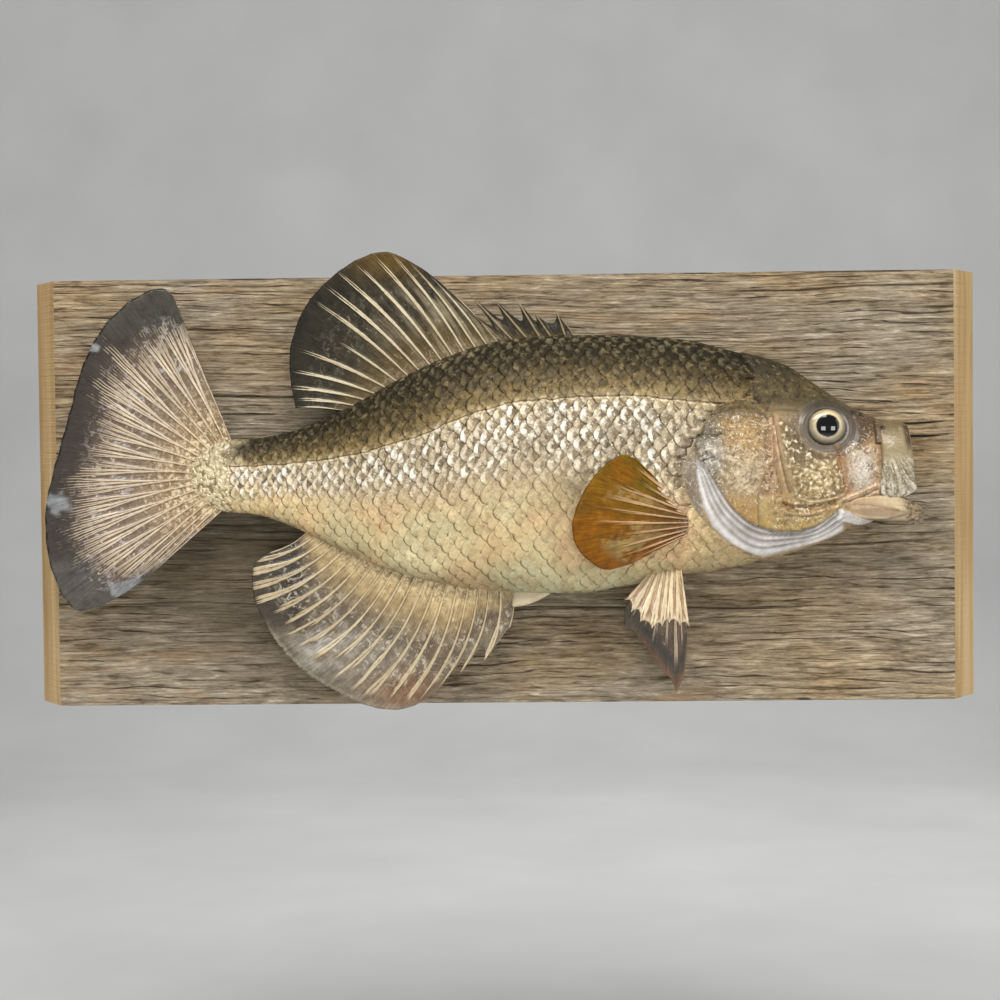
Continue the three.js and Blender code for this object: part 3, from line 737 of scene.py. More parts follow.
FLANK, GIRTHS, LINE_SHARES = flank_tables()
FLANK_FACING = np.cross(np.gradient(FLANK, axis=1), np.gradient(FLANK, axis=0))
FLANK_FACING[:, [0, -1], 1] = 0
FLANK_FACING /= np.linalg.norm(FLANK_FACING, axis=2)[..., None]
HALF_WAY = len(SHARES) // 2
FLANK_FACING *= np.where(FLANK_FACING[:, HALF_WAY:HALF_WAY + 1, 1:2] > 0, -1, 1)


def table_at(table, x, share):
    """A table's value at any place, blended from its four neighbours."""
    i = np.clip((x - STATIONS[0]) / (STATIONS[1] - STATIONS[0]), 0, len(STATIONS) - 1.001)
    j = np.clip(share * (len(SHARES) - 1), 0, len(SHARES) - 1.001)
    i0, j0 = i.astype(int), j.astype(int)
    fi, fj = (i - i0)[:, None], (j - j0)[:, None]
    upper = table[i0, j0] * (1 - fi) + table[i0 + 1, j0] * fi
    lower = table[i0, j0 + 1] * (1 - fi) + table[i0 + 1, j0 + 1] * fi
    return upper * (1 - fj) + lower * fj


def on_flank(x, share, side, lift):
    """Spots on a flank (side -1 near, 1 far), lifted off the form along its own facing."""
    spot = table_at(FLANK, x, share) + table_at(FLANK_FACING, x, share) * lift[:, None]
    spot[:, 1] = np.minimum(centre_at(x) - side * spot[:, 1], WALL_Y)
    return spot


def line_at(x):
    """The lateral line's share of the way from ridge to keel."""
    return np.interp(x, STATIONS, LINE_SHARES)


def girth_at(x):
    """The length of the section's outline from ridge to keel."""
    return np.interp(x, STATIONS, GIRTHS)


def share_below_line(x, drop):
    """The share of a flank that lies a distance down from the lateral line."""
    return line_at(x) + drop / girth_at(x)


def drop_below_line(x, share):
    """How far a place on a flank lies down from the lateral line."""
    return (share - line_at(x)) * girth_at(x)


def upper_share(x, drop):
    """1 on the dark back, 0 on the pale flank and at the tail's root."""
    return smooth((4 - drop) / 9) * smooth((x + 124) / 16)


def glint_zone(x, drop):
    """The drop below the lateral line as if the bright band were equally deep from gills to tail."""
    deep = 36 + 24 * smooth((x - 25) / 40)
    return np.where(drop > 0, drop * 36 / deep * (1 + 1.1 * smooth((-10 - x) / 80)), drop)


def rise_of(x, share):
    """1 at the ridge, 0 on the lateral line, -1 at the keel."""
    line = line_at(x)
    return np.where(share < line, (line - share) / line, (line - share) / (1 - line))


print("deepest section", round(float(GIRTHS.max())), "mm from ridge to keel")

# %% [markdown]
# ## Markings
# Skin and scales carry the same markings, so one function paints both. A crappie's back is dark olive,
# its flank silver below the lateral line, and its belly a warm cream. Dark blotches lie on the nape and
# faint mauve ones on the mid flank. The colours are stops from the keel up to the ridge, softened and
# broken by slow noise.

# %% Body markings
# Colours from the keel (-1) up to the ridge (1). The keel's darker stops are partly painted shade under the
# belly, and the lighter last stop at the ridge is partly a painted sheen.
KEEL_TO_RIDGE = [(-1.0, (138, 128, 98)), (-0.93, (158, 145, 110)), (-0.8, (188, 170, 128)),
                 (-0.62, (200, 178, 134)), (-0.45, (200, 178, 138)), (-0.32, (190, 172, 142)),
                 (-0.2, (184, 170, 144)), (-0.05, (176, 160, 130)), (0.03, (152, 132, 92)),
                 (0.14, (126, 107, 68)), (0.35, (80, 66, 36)), (0.6, (45, 37, 17)), (0.85, (38, 32, 16)),
                 (1.0, (72, 65, 50))]
BLOTCH, NAPE_BLOTCH, TAIL_BASE = (136, 114, 94), (44, 38, 28), (210, 194, 158)
BREAST, PALE_BELLY = (166, 143, 104), (226, 216, 174)
PEACH, MINT = (224, 180, 136), (190, 192, 156)


def slow_noise(x, z, size, seed):
    """Soft noise between -1 and 1 at a size in millimetres."""
    return np.array([noise.noise(Vector((a / size, seed, b / size))) for a, b in zip(x, z)])


def body_markings(x, z, rise):
    """The painted colour of the body at each place, before any scale's own shading."""
    soft = slow_noise(x, z, 16, 3.7)
    spot = slow_noise(x, z, 5.5, 9.1)
    paint = stops(np.clip(rise + 0.05 * soft, -1, 1), *KEEL_TO_RIDGE)
    mid = smooth((rise + 0.62) / 0.1) * smooth((-0.22 - rise) / 0.1) * smooth((x + 40) / 40)
    paint = dab(paint, BLOTCH, 0.5 * mid * smooth((spot - 0.15) / 0.25))
    nape = smooth((x - 55) / 35) * smooth((rise - 0.45) / 0.3)
    paint = dab(paint, NAPE_BLOTCH, 0.85 * nape * smooth((spot - 0.05) / 0.25))
    paint = dab(paint, TAIL_BASE, 0.9 * smooth((-106 - x - 10 * spot) / 12))
    back = smooth((rise - 0.15) / 0.2)
    paint = dab(paint, PALE_BELLY, 0.7 * pillow(x, z, (-36, -27), (16, 7)))
    breast = smooth((x - 66) / 16) * smooth((-8 - z) / 10)
    paint = dab(paint, BREAST, 0.75 * breast * (0.7 + spot))
    shoulder = smooth(x / 30) * smooth((92 - x) / 8) * smooth((rise + 0.62) / 0.15)
    pale = 0.1 * smooth((-20 - x) / 60) + 0.16 * smooth((-70 - x) / 14) - 0.2 * shoulder
    pale *= smooth((0.05 - rise) / 0.1)
    return paint * (1 + (0.14 * soft + 0.2 * spot * back + pale))[:, None]


# %% [markdown]
# ## The head
# The head has no scales to hide behind, so its form is drawn in relief: plates with crisp edges, ridges
# and creases along lines, and soft bulges. Each is a height added to the form along its facing. The
# gill cover is a thin plate that ends in a soft ear; below it the gill membrane lies in folds; in front
# of it come the ridged cheek bone, the hammered cheek, the silver pillow before the jaw and the eye.

# %% Head lines
NAPE = [(97, 80), (100, 58), (106, 48.5), (105.4, 41), (102, 37.2)]
GILL_EDGE = [(95.7, 36.9), (88.8, 33.3), (83.5, 26.5), (79.3, 18.4), (79.9, 13.4), (83.4, 9.2),
             (88.6, 1.2), (94, -7), (99.8, -12.4), (105.5, -15.4), (112.5, -17), (121.6, -17),
             (129.7, -14.7), (136.4, -9.8)]
PREOPERCLE = [(139, -5.6), (127.8, -6.4), (118.4, -5), (115.3, 7.8), (113, 20), (110.6, 31), (104, 36)]
CHEEK = [(113.2, 29.4), (115, 20), (117.3, 7.6), (120.2, -3), (127.8, -4.2), (139.2, -3.2), (141.4, 1.6),
         (139.6, 8), (135.6, 13.4), (126, 17.4), (121.6, 22), (118, 25)]
MEMBRANE_EDGE = [(75, 8), (76.5, -0.7), (80.1, -8.1), (86.1, -15.1), (95.4, -22.6), (105.6, -27.8)]
SUBOPERCLE = [(104.7, -3.1), (113.3, -3.2), (115.3, -6.9), (122.2, -10.3), (131.1, -9.5), (139.5, -6.5),
              (135.2, -12), (127, -15.2), (118.1, -16.8), (109.9, -15.9), (103.8, -13.8)]
SILVER_SPIKE = [(138, -8.2), (142.5, -9.6), (149, -12.2), (155.4, -14), (146.5, -15), (137.6, -12.9)]
MEMBRANE_FOOT = [(80, 6), (82.3, -6), (86.6, -14.8), (93.8, -22.4), (102.5, -27), (109, -28),
                 (119.8, -25.4), (127.8, -23), (137.2, -20), (141, -18)]
EYE = {"x": 133.6, "z": 25.0, "radius": 8.0, "dome": 2.9, "seat": 3.4, "forward": 5, "up": 1}
TRUNK_FRONT = sorted((z, x) for x, z in [*NAPE, *GILL_EDGE[:4], *MEMBRANE_EDGE, (118, -36)])


def inside(x, z, outline):
    """Which places lie within a closed outline."""
    found = np.zeros(len(x), bool)
    for (x0, z0), (x1, z1) in zip(outline, outline[1:] + outline[:1]):
        if z0 != z1:
            crosses = (z0 > z) != (z1 > z)
            found ^= crosses & (x < (x1 - x0) * (z - z0) / (z1 - z0) + x0)
    return found


def gap_to(x, z, line, closed=False):
    """The distance from each place to a smooth line."""
    knots = [*line, line[0]] if closed else line
    dots = curve_through(knots)(np.linspace(0, 1, 14 * len(knots)))
    nearest = np.full(len(x), 1e9)
    for dot_x, dot_z in dots:
        nearest = np.minimum(nearest, (x - dot_x) ** 2 + (z - dot_z) ** 2)
    return np.sqrt(nearest)


def stroke(x, z, line, width):
    """1 on a line, fading to 0 about a width away."""
    return np.exp(-((gap_to(x, z, line) / width) ** 2))


def plate(x, z, outline, edge):
    """1 inside an outline, 0 outside, with a step as wide as the edge."""
    gap = gap_to(x, z, outline, closed=True)
    return smooth(np.where(inside(x, z, outline), gap, -gap) / edge + 0.5)


def pillow(x, z, middle, radii):
    """A soft round rise: 1 in the middle."""
    return np.exp(-(((x - middle[0]) / radii[0]) ** 2) - ((z - middle[1]) / radii[1]) ** 2)


def trunk_front(z):
    """How far forward the scaled part of the body reaches at each height."""
    heights, fronts = zip(*TRUNK_FRONT)
    return np.interp(z, heights, fronts)


def trunk_share(x, z):
    """1 where the body is scaled, 0 on the head, the gill membrane and the throat."""
    return smooth((trunk_front(z) - x) / 1.5)


# %% Head relief
COAT_DEPTH = 0.6
PAINTED_CREASE_SHADE, RUST, PAINTED_RIDGE_HIGHLIGHT, PLAIN = (50, 38, 24), (138, 96, 56), (232, 216, 184), None
# Dark tints on sunken lines are painted shade in the creases; pale tints on raised lines are painted
# highlights along the ridges, over the bone's pale colour.
CREASES = [
    ([(73.3, 36), (79.8, 35.2), (86.3, 33.5), (89.2, 33.8)], 0.6, -0.5, PAINTED_CREASE_SHADE),
    ([(89.9, 37.8), (94.2, 38.6), (99.3, 38), (104.4, 37.2), (106.9, 35), (109.4, 33)], 0.7, -0.9, PAINTED_CREASE_SHADE),
    ([(90.5, 36.2), (98, 36.8), (104, 35.6)], 0.6, 0.5, (190, 164, 120)),
    ([(92, 40.6), (97, 40.2), (101, 40.8)], 0.6, 0.6, RUST),
    ([(88.6, 35.4), (93, 35), (97.5, 35.4)], 0.5, -0.6, PAINTED_CREASE_SHADE),
    ([(79.7, 26.6), (84.1, 29.9), (89.1, 31.6), (94.2, 33), (98.5, 33.7), (102.9, 32.9), (105.8, 31.1),
      (108.6, 29.2)], 0.6, -0.8, PAINTED_CREASE_SHADE),
    ([(107.9, 33.2), (112.3, 33.6), (117.3, 33.5), (122.4, 32.8)], 0.35, 0.2, PLAIN),
    ([(108.6, 32.2), (114.7, 32.4), (122, 32.2)], 0.5, -0.5, PAINTED_CREASE_SHADE),
    ([(78.9, 22.3), (82.5, 22.5), (86.9, 21.6), (90.2, 22.9)], 0.8, -1.1, PAINTED_CREASE_SHADE),
    ([(79, 24.2), (84, 24.4), (89, 23.8)], 1.0, 0.6, PLAIN),
    ([(83.2, 15), (89, 12), (95.5, 8.3)], 0.5, -0.4, PAINTED_CREASE_SHADE),
    ([(84, 17), (90, 14.4), (96, 11)], 0.5, 0.4, PAINTED_RIDGE_HIGHLIGHT),
    ([(109.7, 28.8), (109.3, 22.7), (108.5, 15.5), (107.6, 6.8), (105.5, -1.9)], 0.9, -0.4, RUST),
    ([(110.6, 27), (110.3, 18), (109.7, 8), (108.4, 0)], 0.6, 0.6, PLAIN),
    ([(110.9, 26.6), (111.4, 14), (112.2, 6.7), (114.3, -2)], 0.45, -0.6, PAINTED_CREASE_SHADE),
    ([(111.6, 26), (112.6, 15.4), (113.9, 8.2), (116.2, -1)], 0.5, 0.8, (222, 190, 156)),
    ([(111.5, 29.9), (112, 25.6), (113.2, 16.9), (114.7, 9.6), (117, 1), (118.4, -2.1)], 0.45, -0.6, PAINTED_CREASE_SHADE),
    ([(113, 26), (114.2, 17), (115.9, 9.4), (118.3, 2), (120.5, -1.6)], 0.7, 0.8, PLAIN),
    ([(118.9, -2.1), (122.1, -3.9), (127.2, -5.4), (133, -4.8), (138, -3.4), (140.9, -2.3)], 0.5, 0.7,
     (214, 190, 146)),
    ([(114.9, -5.7), (117.8, -7.2), (122.8, -7.7), (130.1, -7), (136.6, -5.7)], 0.85, -1.4, PAINTED_CREASE_SHADE),
    ([(115.6, -8.9), (120, -9.7), (125, -9.6), (131.5, -8.6), (137.3, -7)], 0.5, 0.7, (214, 186, 140)),
    ([(115.6, -10.4), (122, -11.2), (130, -10.4)], 0.5, -0.5, PAINTED_CREASE_SHADE),
    ([(104.7, -3.1), (104.6, -8.5), (104.9, -14.5)], 0.45, -0.6, PAINTED_CREASE_SHADE),
    ([(104.7, -15), (109.8, -17.2), (117, -18), (122.8, -17.7), (129, -15.8)], 0.5, -0.7, PAINTED_CREASE_SHADE),
    ([(137.6, 17.5), (139.4, 13.7), (139.9, 7.9), (140.9, 0.6), (142, -2.3)], 1.2, -1.0, RUST),
    ([(139.5, -4.5), (143.8, -3), (148.9, -0.9), (153.2, 1.2)], 0.5, 0.6, (220, 190, 156)),
    ([(140.5, -6.2), (145, -4.9), (150, -2.8), (154, -0.6)], 0.6, -0.7, PAINTED_CREASE_SHADE),
    ([(147, 16.5), (151, 19.5), (154.4, 24)], 0.9, -0.7, RUST),
]
NOSTRILS = [(145.4, 31.1), (148.2, 30.0)]
GILL_COVER = [*GILL_EDGE, *PREOPERCLE]
MEMBRANE = [*GILL_EDGE[4:], (140, -11), *MEMBRANE_FOOT[::-1]]
FOLDS = 3.9


def lumps(x, z, size, seed):
    """Rounded lumps, like hammered metal: 0 on top, more in the seams."""
    return np.array([noise.voronoi(Vector((a / size, seed, b / size)))[0][0] for a, b in zip(x, z)])


def membrane_share(x, z):
    """The share of the way over the gill membrane, from the gill cover's edge to the membrane's foot."""
    near, far = gap_to(x, z, GILL_EDGE[3:]), gap_to(x, z, MEMBRANE_FOOT)
    return near / (near + far + 0.01)


def membrane_folds(x, z):
    """0 in the valleys between the folds of the gill membrane, 1 on top of them."""
    across = membrane_share(x, z) ** 0.9 + 0.14 * slow_noise(x, z, 17, 3.1)
    return np.abs(np.sin(math.pi * FOLDS * across)) ** 0.5


def eye_gap(x, z):
    """The distance from the eye's middle, drawn in a little up and down as the eye is not quite round."""
    return np.hypot(x - EYE["x"], (z - EYE["z"]) * 1.1)


def head_relief(x, z):
    """The height of everything on the head over the plain form."""
    height = 0.95 * plate(x, z, GILL_COVER, 0.8)
    height += 0.6 * plate(x, z, CHEEK, 1.4) + 0.7 * plate(x, z, SUBOPERCLE, 1.3)
    height += 0.9 * plate(x, z, SILVER_SPIKE, 1.4)
    folded = plate(x, z, MEMBRANE, 1.6)
    deep = 0.75 + 0.35 * slow_noise(x, z, 9, 5.4)
    height += folded * (deep * membrane_folds(x, z) - 0.5)
    for line, width, rise, _ in CREASES:
        height += rise * stroke(x, z, line, width)
    height += 1.3 * pillow(x, z, (147.8, 7.5), (5.2, 8.0)) + 0.5 * pillow(x, z, (97, 14), (11, 12))
    away = eye_gap(x, z)
    height += 0.4 * hill(away, 9.8, 1.5) - 0.45 * hill(away, 12.2, 1.1)
    height += 0.1 * np.sin(away * 5) * smooth((14 - away) / 2)
    height -= (EYE["seat"] + 0.6) * smooth((EYE["radius"] + 0.1 - away) / 0.7)
    for middle in NOSTRILS:
        height -= 1.0 * pillow(x, z, middle, (0.8, 0.6)) - 0.35 * pillow(x, z, middle, (1.8, 1.5))
    hammered = plate(x, z, CHEEK, 3) * smooth((away - 12) / 4)
    wrinkled = plate(x, z, [*GILL_EDGE[:8], *PREOPERCLE[3:]], 3)
    height += 0.5 * hammered * (0.45 - lumps(x, z, 1.6, 1.5))
    height += 0.6 * wrinkled * (0.45 - lumps(x, z, 3.4, 4.5)) + 0.4 * wrinkled * slow_noise(x, z, 1.9, 8)
    crown = smooth((x - 104) / 6) * smooth((z - 34) / 5)
    return height + 0.22 * crown * slow_noise(x, z, 1.7, 2.2)


def head_texture(x, z):
    """How much the skin is crinkled like foil, hammered, and peppered like the back, at each place."""
    away = smooth((eye_gap(x, z) - 10.5) / 3)
    low = smooth((33 - z) / 4)
    gill = plate(x, z, GILL_COVER, 2)
    pillow_skin = pillow(x, z, (147.8, 7.5), (6.5, 9.5))
    pebble = plate(x, z, CHEEK, 2.4) * away
    band = plate(x, z, SUBOPERCLE, 2)
    folded = plate(x, z, MEMBRANE, 1.6)
    foil = 0.85 * gill + 0.5 * smooth((x - 106) / 3) * (1 - folded) + 0.7 * pillow_skin
    foil = foil + 0.6 * smooth((90 - x) / 6)
    foil *= 1 - 0.85 * stroke(x, z, [(112.5, 29), (112.8, 16), (114, 6), (117, -2)], 3.4)
    smooth_gold = gill * smooth((2 - z) / 6) * smooth((112 - x) / 4)
    foil *= low * away * (1 - 0.4 * pebble) * (1 - 0.4 * band) * (1 - 0.8 * folded) * (1 - 0.5 * smooth_gold)
    crown = smooth((z - 31.5 - 0.12 * (x - 110)) / 5) * away
    return foil, pebble, crown


# %% Head markings
HEAD_GROUND = (160, 134, 94)
FOLD_SHADE, FOLD_SHINE = (66, 60, 54), (232, 230, 228)


def head_brushes(x, z, away, folded):
    """The brushes of the head in their order: where each paints, its tint and its strength."""
    gill = plate(x, z, GILL_COVER, 2)
    behind = smooth((84 - x) / 3) * smooth((24 - z) / 4) * smooth((z - 12) / 4) * (1 - gill)
    across = membrane_share(x, z)
    return [
        (smooth((z - 29 + (x - 110) * 0.12) / 8), (92, 78, 48), 1.0),
        (smooth((z - 41) / 9), (62, 54, 34), 1.0),
        (gill, (146, 120, 76), 0.9),
        (gill * pillow(x, z, (99, 6), (8, 9)), (210, 192, 160), 0.7),
        (gill * pillow(x, z, (100, 22), (7, 6)), (182, 148, 96), 0.6),
        (gill * smooth((93 - x) / 9), (116, 108, 92), 0.85),
        (gill * pillow(x, z, (86, 14), (5, 6)), (200, 196, 190), 0.6),
        (gill * smooth((1 - z) / 8), (170, 132, 74), 0.75),
        (gill * smooth((z - 26) / 5), (98, 80, 48), 0.7),
        (stroke(x, z, [(112, 27), (110.6, 12), (110.4, -3)], 2.8), (176, 140, 104), 0.8),
        (plate(x, z, CHEEK, 3), (150, 128, 86), 0.9),
        (pillow(x, z, (131, 4), (9, 7)), (202, 180, 130), 0.5),
        (stroke(x, z, [(118, 28), (118.6, 20), (121, 13)], 4), (112, 98, 74), 0.75),
        (plate(x, z, SUBOPERCLE, 2.2), (168, 144, 92), 0.95),
        (stroke(x, z, [(106, -13), (115, -15.6), (126, -13.8)], 1.8), (182, 150, 84), 0.7),
        (stroke(x, z, [(137, 16), (139.6, 9), (141.2, 3), (143, -3)], 2.0), (166, 114, 60), 0.85),
        (pillow(x, z, (147.8, 7.5), (5.2, 8)), (212, 204, 190), 1.0),
        (stroke(x, z, [(154.5, 18), (154.2, 8), (152.8, -1)], 1.6), (158, 124, 84), 0.7),
        (stroke(x, z, [(143, -3.4), (150, -1.4), (156, 1)], 1.7), (214, 180, 142), 0.9),
        (pillow(x, z, (151, 21), (4, 4)), (134, 106, 68), 0.8),
        (plate(x, z, [(143, 34), (140, 20), (147, 17), (154, 24), (156, 30)], 4), (84, 66, 46), 0.9),
        (hill(away, 9.6, 3.1), (96, 88, 80), 0.95),
        (hill(away, 10.5, 3.2) * smooth((z - 28) / 6), (66, 60, 44), 0.85),
        (hill(away, 13.6, 1.2) * smooth((31 - z) / 10), (74, 58, 46), 0.6),
        (smooth((8.2 - away) / 0.6), (100, 94, 82), 1.0),
        (smooth((83.5 - x) / 3) * smooth((16 - z) / 5) * (1 - gill), (126, 118, 104), 0.85),
        (behind, (124, 112, 96), 0.8),
        (pillow(x, z, (75.5, -1), (2.4, 5)), (112, 78, 60), 0.6),
        (folded, (168, 163, 158), 1.0),
        (folded * smooth((0.4 - across) / 0.25), (146, 138, 130), 0.7),
        (folded * smooth((across - 0.6) / 0.2), (214, 210, 206), 0.7),
        (plate(x, z, SILVER_SPIKE, 1.4), (206, 203, 200), 0.9),
    ]


def head_markings(x, z):
    """The painted colour of the head, laid on brush by brush.
    It holds painted shade in the creases, fold valleys and nostrils, and painted highlights on ridges and
    fold tops.
    """
    away = eye_gap(x, z)
    broken = slow_noise(x, z, 3.2, 5.5)
    fine = slow_noise(x, z, 1.4, 7.7)
    folded = plate(x, z, MEMBRANE, 1.2)
    paint = np.tile(colour(*HEAD_GROUND), (len(x), 1))
    for mask, tint, strength in head_brushes(x, z, away, folded):
        paint = dab(paint, tint, mask * strength)
    folds = membrane_folds(x, z)
    faint = 0.65 + 0.5 * slow_noise(x, z, 8, 1.1)
    # Painted shade in the valleys of the membrane's folds and painted highlights on their tops.
    paint = dab(paint, FOLD_SHADE, folded * smooth((0.66 - folds) / 0.4) * 0.55 * faint)
    paint = dab(paint, FOLD_SHINE, folded * smooth((folds - 0.9) / 0.1) * 0.7 * faint)
    pink = plate(x, z, [(141, 14), (154, 18), (154, 0), (141, -2)], 4) * smooth((fine - 0.1) / 0.2)
    paint = dab(paint, (176, 142, 132), 0.5 * pink)
    # Painted shade along the sunken creases and painted highlights along the raised lines, where a line has a
    # tint.
    for line, width, rise_of_line, tint in CREASES:
        if tint:
            thin = width * (0.8 if rise_of_line < 0 else 1.0)
            paint = dab(paint, tint, 0.75 * stroke(x, z, line, thin) * (0.7 + 0.9 * fine))
    # Painted shade: the nostril pits are painted near black.
    for middle in NOSTRILS:
        paint = dab(paint, (28, 22, 18), pillow(x, z, middle, (1.0, 0.8)))
    rings = 0.2 * np.sin(away * 5 + 0.8 * fine)
    lined = rings * smooth((14 - away) / 2)
    return paint * (1 + 0.18 * broken + 0.16 * fine + lined)[:, None]


# %% [markdown]
# ## The skin
# One skin covers head and body, so no seam shows. It's a grid wrapped round the form: rows run from the
# tail to the lips, closely on the head and wider apart under the scales, and then turn in at the lips to
# line the mouth. Where scales will lie, the skin stays back by their depth.

# %% Skin
AROUND = 360
TAIL_ROWS, HEAD_ROWS, MOUTH_ROWS = 56, 196, 9
HEAD_START, LIPS = 70, 157.5
MOUTH = [(137, 10, 8, 1), (141, 18, 0, 4.6), (147, 23.6, -4, 8.2), (153, 25, -9, 10), (164, 24.6, -12, 10.4)]
mouth_at = smooth_line(MOUTH)
SKIN_ROWS = np.concatenate([
    np.linspace(BACK[0][0], HEAD_START, TAIL_ROWS, endpoint=False),
    np.linspace(HEAD_START, LIPS, HEAD_ROWS),
    np.linspace(LIPS - 0.4, MOUTH[0][0], MOUTH_ROWS),
])


def skin_place(turn, run):
    """Where the skin's points lie and what they hold: turn goes round the body, run along its rows."""
    row = np.round(run * (len(SKIN_ROWS) - 1)).astype(int)
    x = SKIN_ROWS[row]
    side = np.where(turn < 0.5, 1.0, -1.0)
    share = 1 - np.abs(2 * turn - 1)
    outer = row < TAIL_ROWS + HEAD_ROWS
    spot = on_flank(x, share, side, np.zeros(len(x)))
    z = spot[:, 2]
    rise = rise_of(x, share)
    scaled = trunk_share(x, z)
    lift = -COAT_DEPTH * scaled
    head = outer & (x > HEAD_START)
    lift[head] += head_relief(x[head], z[head])
    fade = smooth((LIPS - x) / 1.5) * smooth((share - 0.02) / 0.06) * smooth((0.985 - share) / 0.05)
    lift = np.where(x > HEAD_START, np.where(lift > 0, lift * fade, lift), lift)
    spot = on_flank(x, share, side, lift)
    angle = share * math.pi
    top, bottom, half = section_of(mouth_at, x)
    lining = np.column_stack([x, centre_at(x) - side * half * np.sin(angle) ** 0.75,
                              (top + bottom) / 2 + (top - bottom) / 2 * np.cos(angle)])
    spot[~outer] = lining[~outer]
    for end in (0, len(SKIN_ROWS) - 1):
        spot[row == end] = spot[row == end].mean(axis=0)
    paint = body_markings(x, z, rise)
    paint[head] = mixed(head_markings(x[head], z[head]), paint[head], scaled[head])
    paint[~outer] = colour(150, 112, 92)
    drop = np.where(scaled > 0.5, drop_below_line(x, share), 99)
    foil, pebble, crown = [part * outer * (1 - scaled) for part in head_texture(x, z)]
    pebble = np.maximum(pebble, outer * smooth((-104 - x) / 6))
    layers = {"paint": paint, "drop": drop, "foil": foil, "pebble": pebble}
    layers["upper"] = np.maximum(crown, upper_share(x, drop) * scaled * outer)
    return spot, layers


skin = wrapped("fish_skin", AROUND, len(SKIN_ROWS) - 1, skin_place)

# %% [markdown]
# ### Fish finishes
# A mounted fish is painted and then varnished, so it has a clear wet coat over a soft satin skin. The
# paint is stored on the points. The finish adds what is too fine for them: dark pepper on the back, the
# thin dark lateral line with its cream lower edge, a little unevenness in colour, gloss and height, and
# painted light: glints and shade on the scales and on the crinkled and hammered skin of the head.

# %% Skin and scale finish
CELL_SWAY = (0.003, 0.003, 0.003)


def rim_stops(drop, *pairs):
    """A colour or a strength that changes down the flank: (millimetres below the lateral line, value)."""
    low, high = pairs[0][0], pairs[-1][0]
    keys = [((place - low) / (high - low), value) for place, value in pairs]
    return ramp(between(drop, low, high), keys)


def dark_back(tree, base, speck, upper):
    """Mottled shade, pale flecks and fine dark pepper on the back."""
    mottle = between(grain(tree, 330, 3, rough=0.6), 0.44, 0.6)
    base = daub(base, times(mottle, upper), 0.62, (38, 31, 21))
    fleck = between(grain(tree, 480, 3, rough=0.6), 0.56, 0.68)
    base = daub(base, times(fleck, upper), 0.4, (158, 142, 98))
    pepper = between(speck, 0.54, 0.62)
    return daub(base, times(pepper, upper), 0.6, (22, 19, 14))


def bright_edges(tree, zone, warped):
    """The band of a scale that gets a painted glint, how strong it is, and its tint."""
    tone = stored(tree, "tone")
    rim = times(between(warped, 0.62, 0.74), between(warped, 1.0, 0.9))
    tints = rim_stops(zone, (-34, colour(150, 140, 108)), (-8, colour(140, 126, 88)),
                      (-1, colour(196, 180, 142)), (3, colour(255, 251, 240)), (24, colour(255, 248, 230)),
                      (34, colour(230, 210, 166)), (60, colour(222, 208, 168)))
    gold = times(between(tone, 0.55, 0.25), 0.6)
    tints = blend(gold, tints, opaque(232, 208, 158))
    amounts = rim_stops(zone, (-34, (0.6,) * 3), (-24, (0.25,) * 3), (-4, (0.14,) * 3),
                        (1.5, (0.95,) * 3), (22, (0.95,) * 3), (36, (0.3,) * 3), (60, (0.2,) * 3))
    patchy = between(grain(tree, 360, 3), 0.42, 0.55, 0.12, 1)
    patchy = times(patchy, between(stored(tree, "wide"), 0.34, 0.62, 1, 0.1))
    patchy = times(patchy, between(tone, 0.0, 0.45, 0.25, 1))
    return rim, times(rim, amounts, patchy), tints


def scale_colours(tree, base, upper):
    """Brown hollows, crackle, soil, bright edges and dots on the scales; returns the glint as well.
    The hollows are deepened with painted shade, the bright edges and dots are painted glints, and a thin
    line of painted shade lies along each free edge.
    """
    zone = stored(tree, "zone")
    warped = plus(stored(tree, "lap"), between(grain(tree, 420, 3), 0.3, 0.7, -0.12, 0.12))
    rim, glint, tints = bright_edges(tree, zone, warped)
    band = times(between(zone, -1, 3), between(zone, 36, 20))
    uneven = between(grain(tree, 260, 3), 0.35, 0.65, 0.35, 0.95)
    # Painted shade: away from its glint each scale is painted darker, over its own brown tone.
    hollow = times(minus(1, rim), times(band, uneven))
    base = blend(hollow, base, opaque(106, 91, 70))
    crackle = grain(tree, 480, 5, rough=0.72, warp=1.5)
    crackles = ramp(crackle, [(0.38, (0.6, 0.57, 0.52)), (0.6, (1.24, 1.23, 1.2))])
    base = blend(between(zone, 60, 30, 0.3, 0.85), base, crackles, "MULTIPLY")
    soil = between(grain(tree, 250, 4, rough=0.68), 0.53, 0.64)
    soil = times(soil, between(zone, 14, 30, 0, 0.42))
    base = blend(soil, base, opaque(138, 110, 74))
    # Painted glints before the free edges.
    base = blend(glint, base, tints)
    # Painted sparkles: small white dots in the bright band.
    dots = times(between(grain(tree, 900, 2, rough=0.6), 0.6, 0.66), band)
    base = daub(base, dots, 0.5, (250, 246, 234))
    # Painted shade: a thin dark line along each free edge, faint on the back.
    edge = times(between(warped, 0.97, 1.0), between(upper, 0, 0.6, 0.2, 0))
    return blend(edge, base, opaque(112, 92, 62)), glint


def swirled_cells(tree):
    """Rounded cells, each point's distance from its cell's middle, stirred so they look grown."""
    place = add(tree, "TexCoord").outputs["Object"]
    stir = add(tree, "TexNoise", {"Vector": place, "Scale": 420.0, "Detail": 2.0}).outputs["Color"]
    stirred = add(tree, "VectorMath", {0: stir, 1: CELL_SWAY, 2: place}, operation="MULTIPLY_ADD")
    inputs = {"Vector": stirred.outputs[0], "Scale": 640.0}
    return add(tree, "TexVoronoi", inputs, feature="SMOOTH_F1").outputs["Distance"]


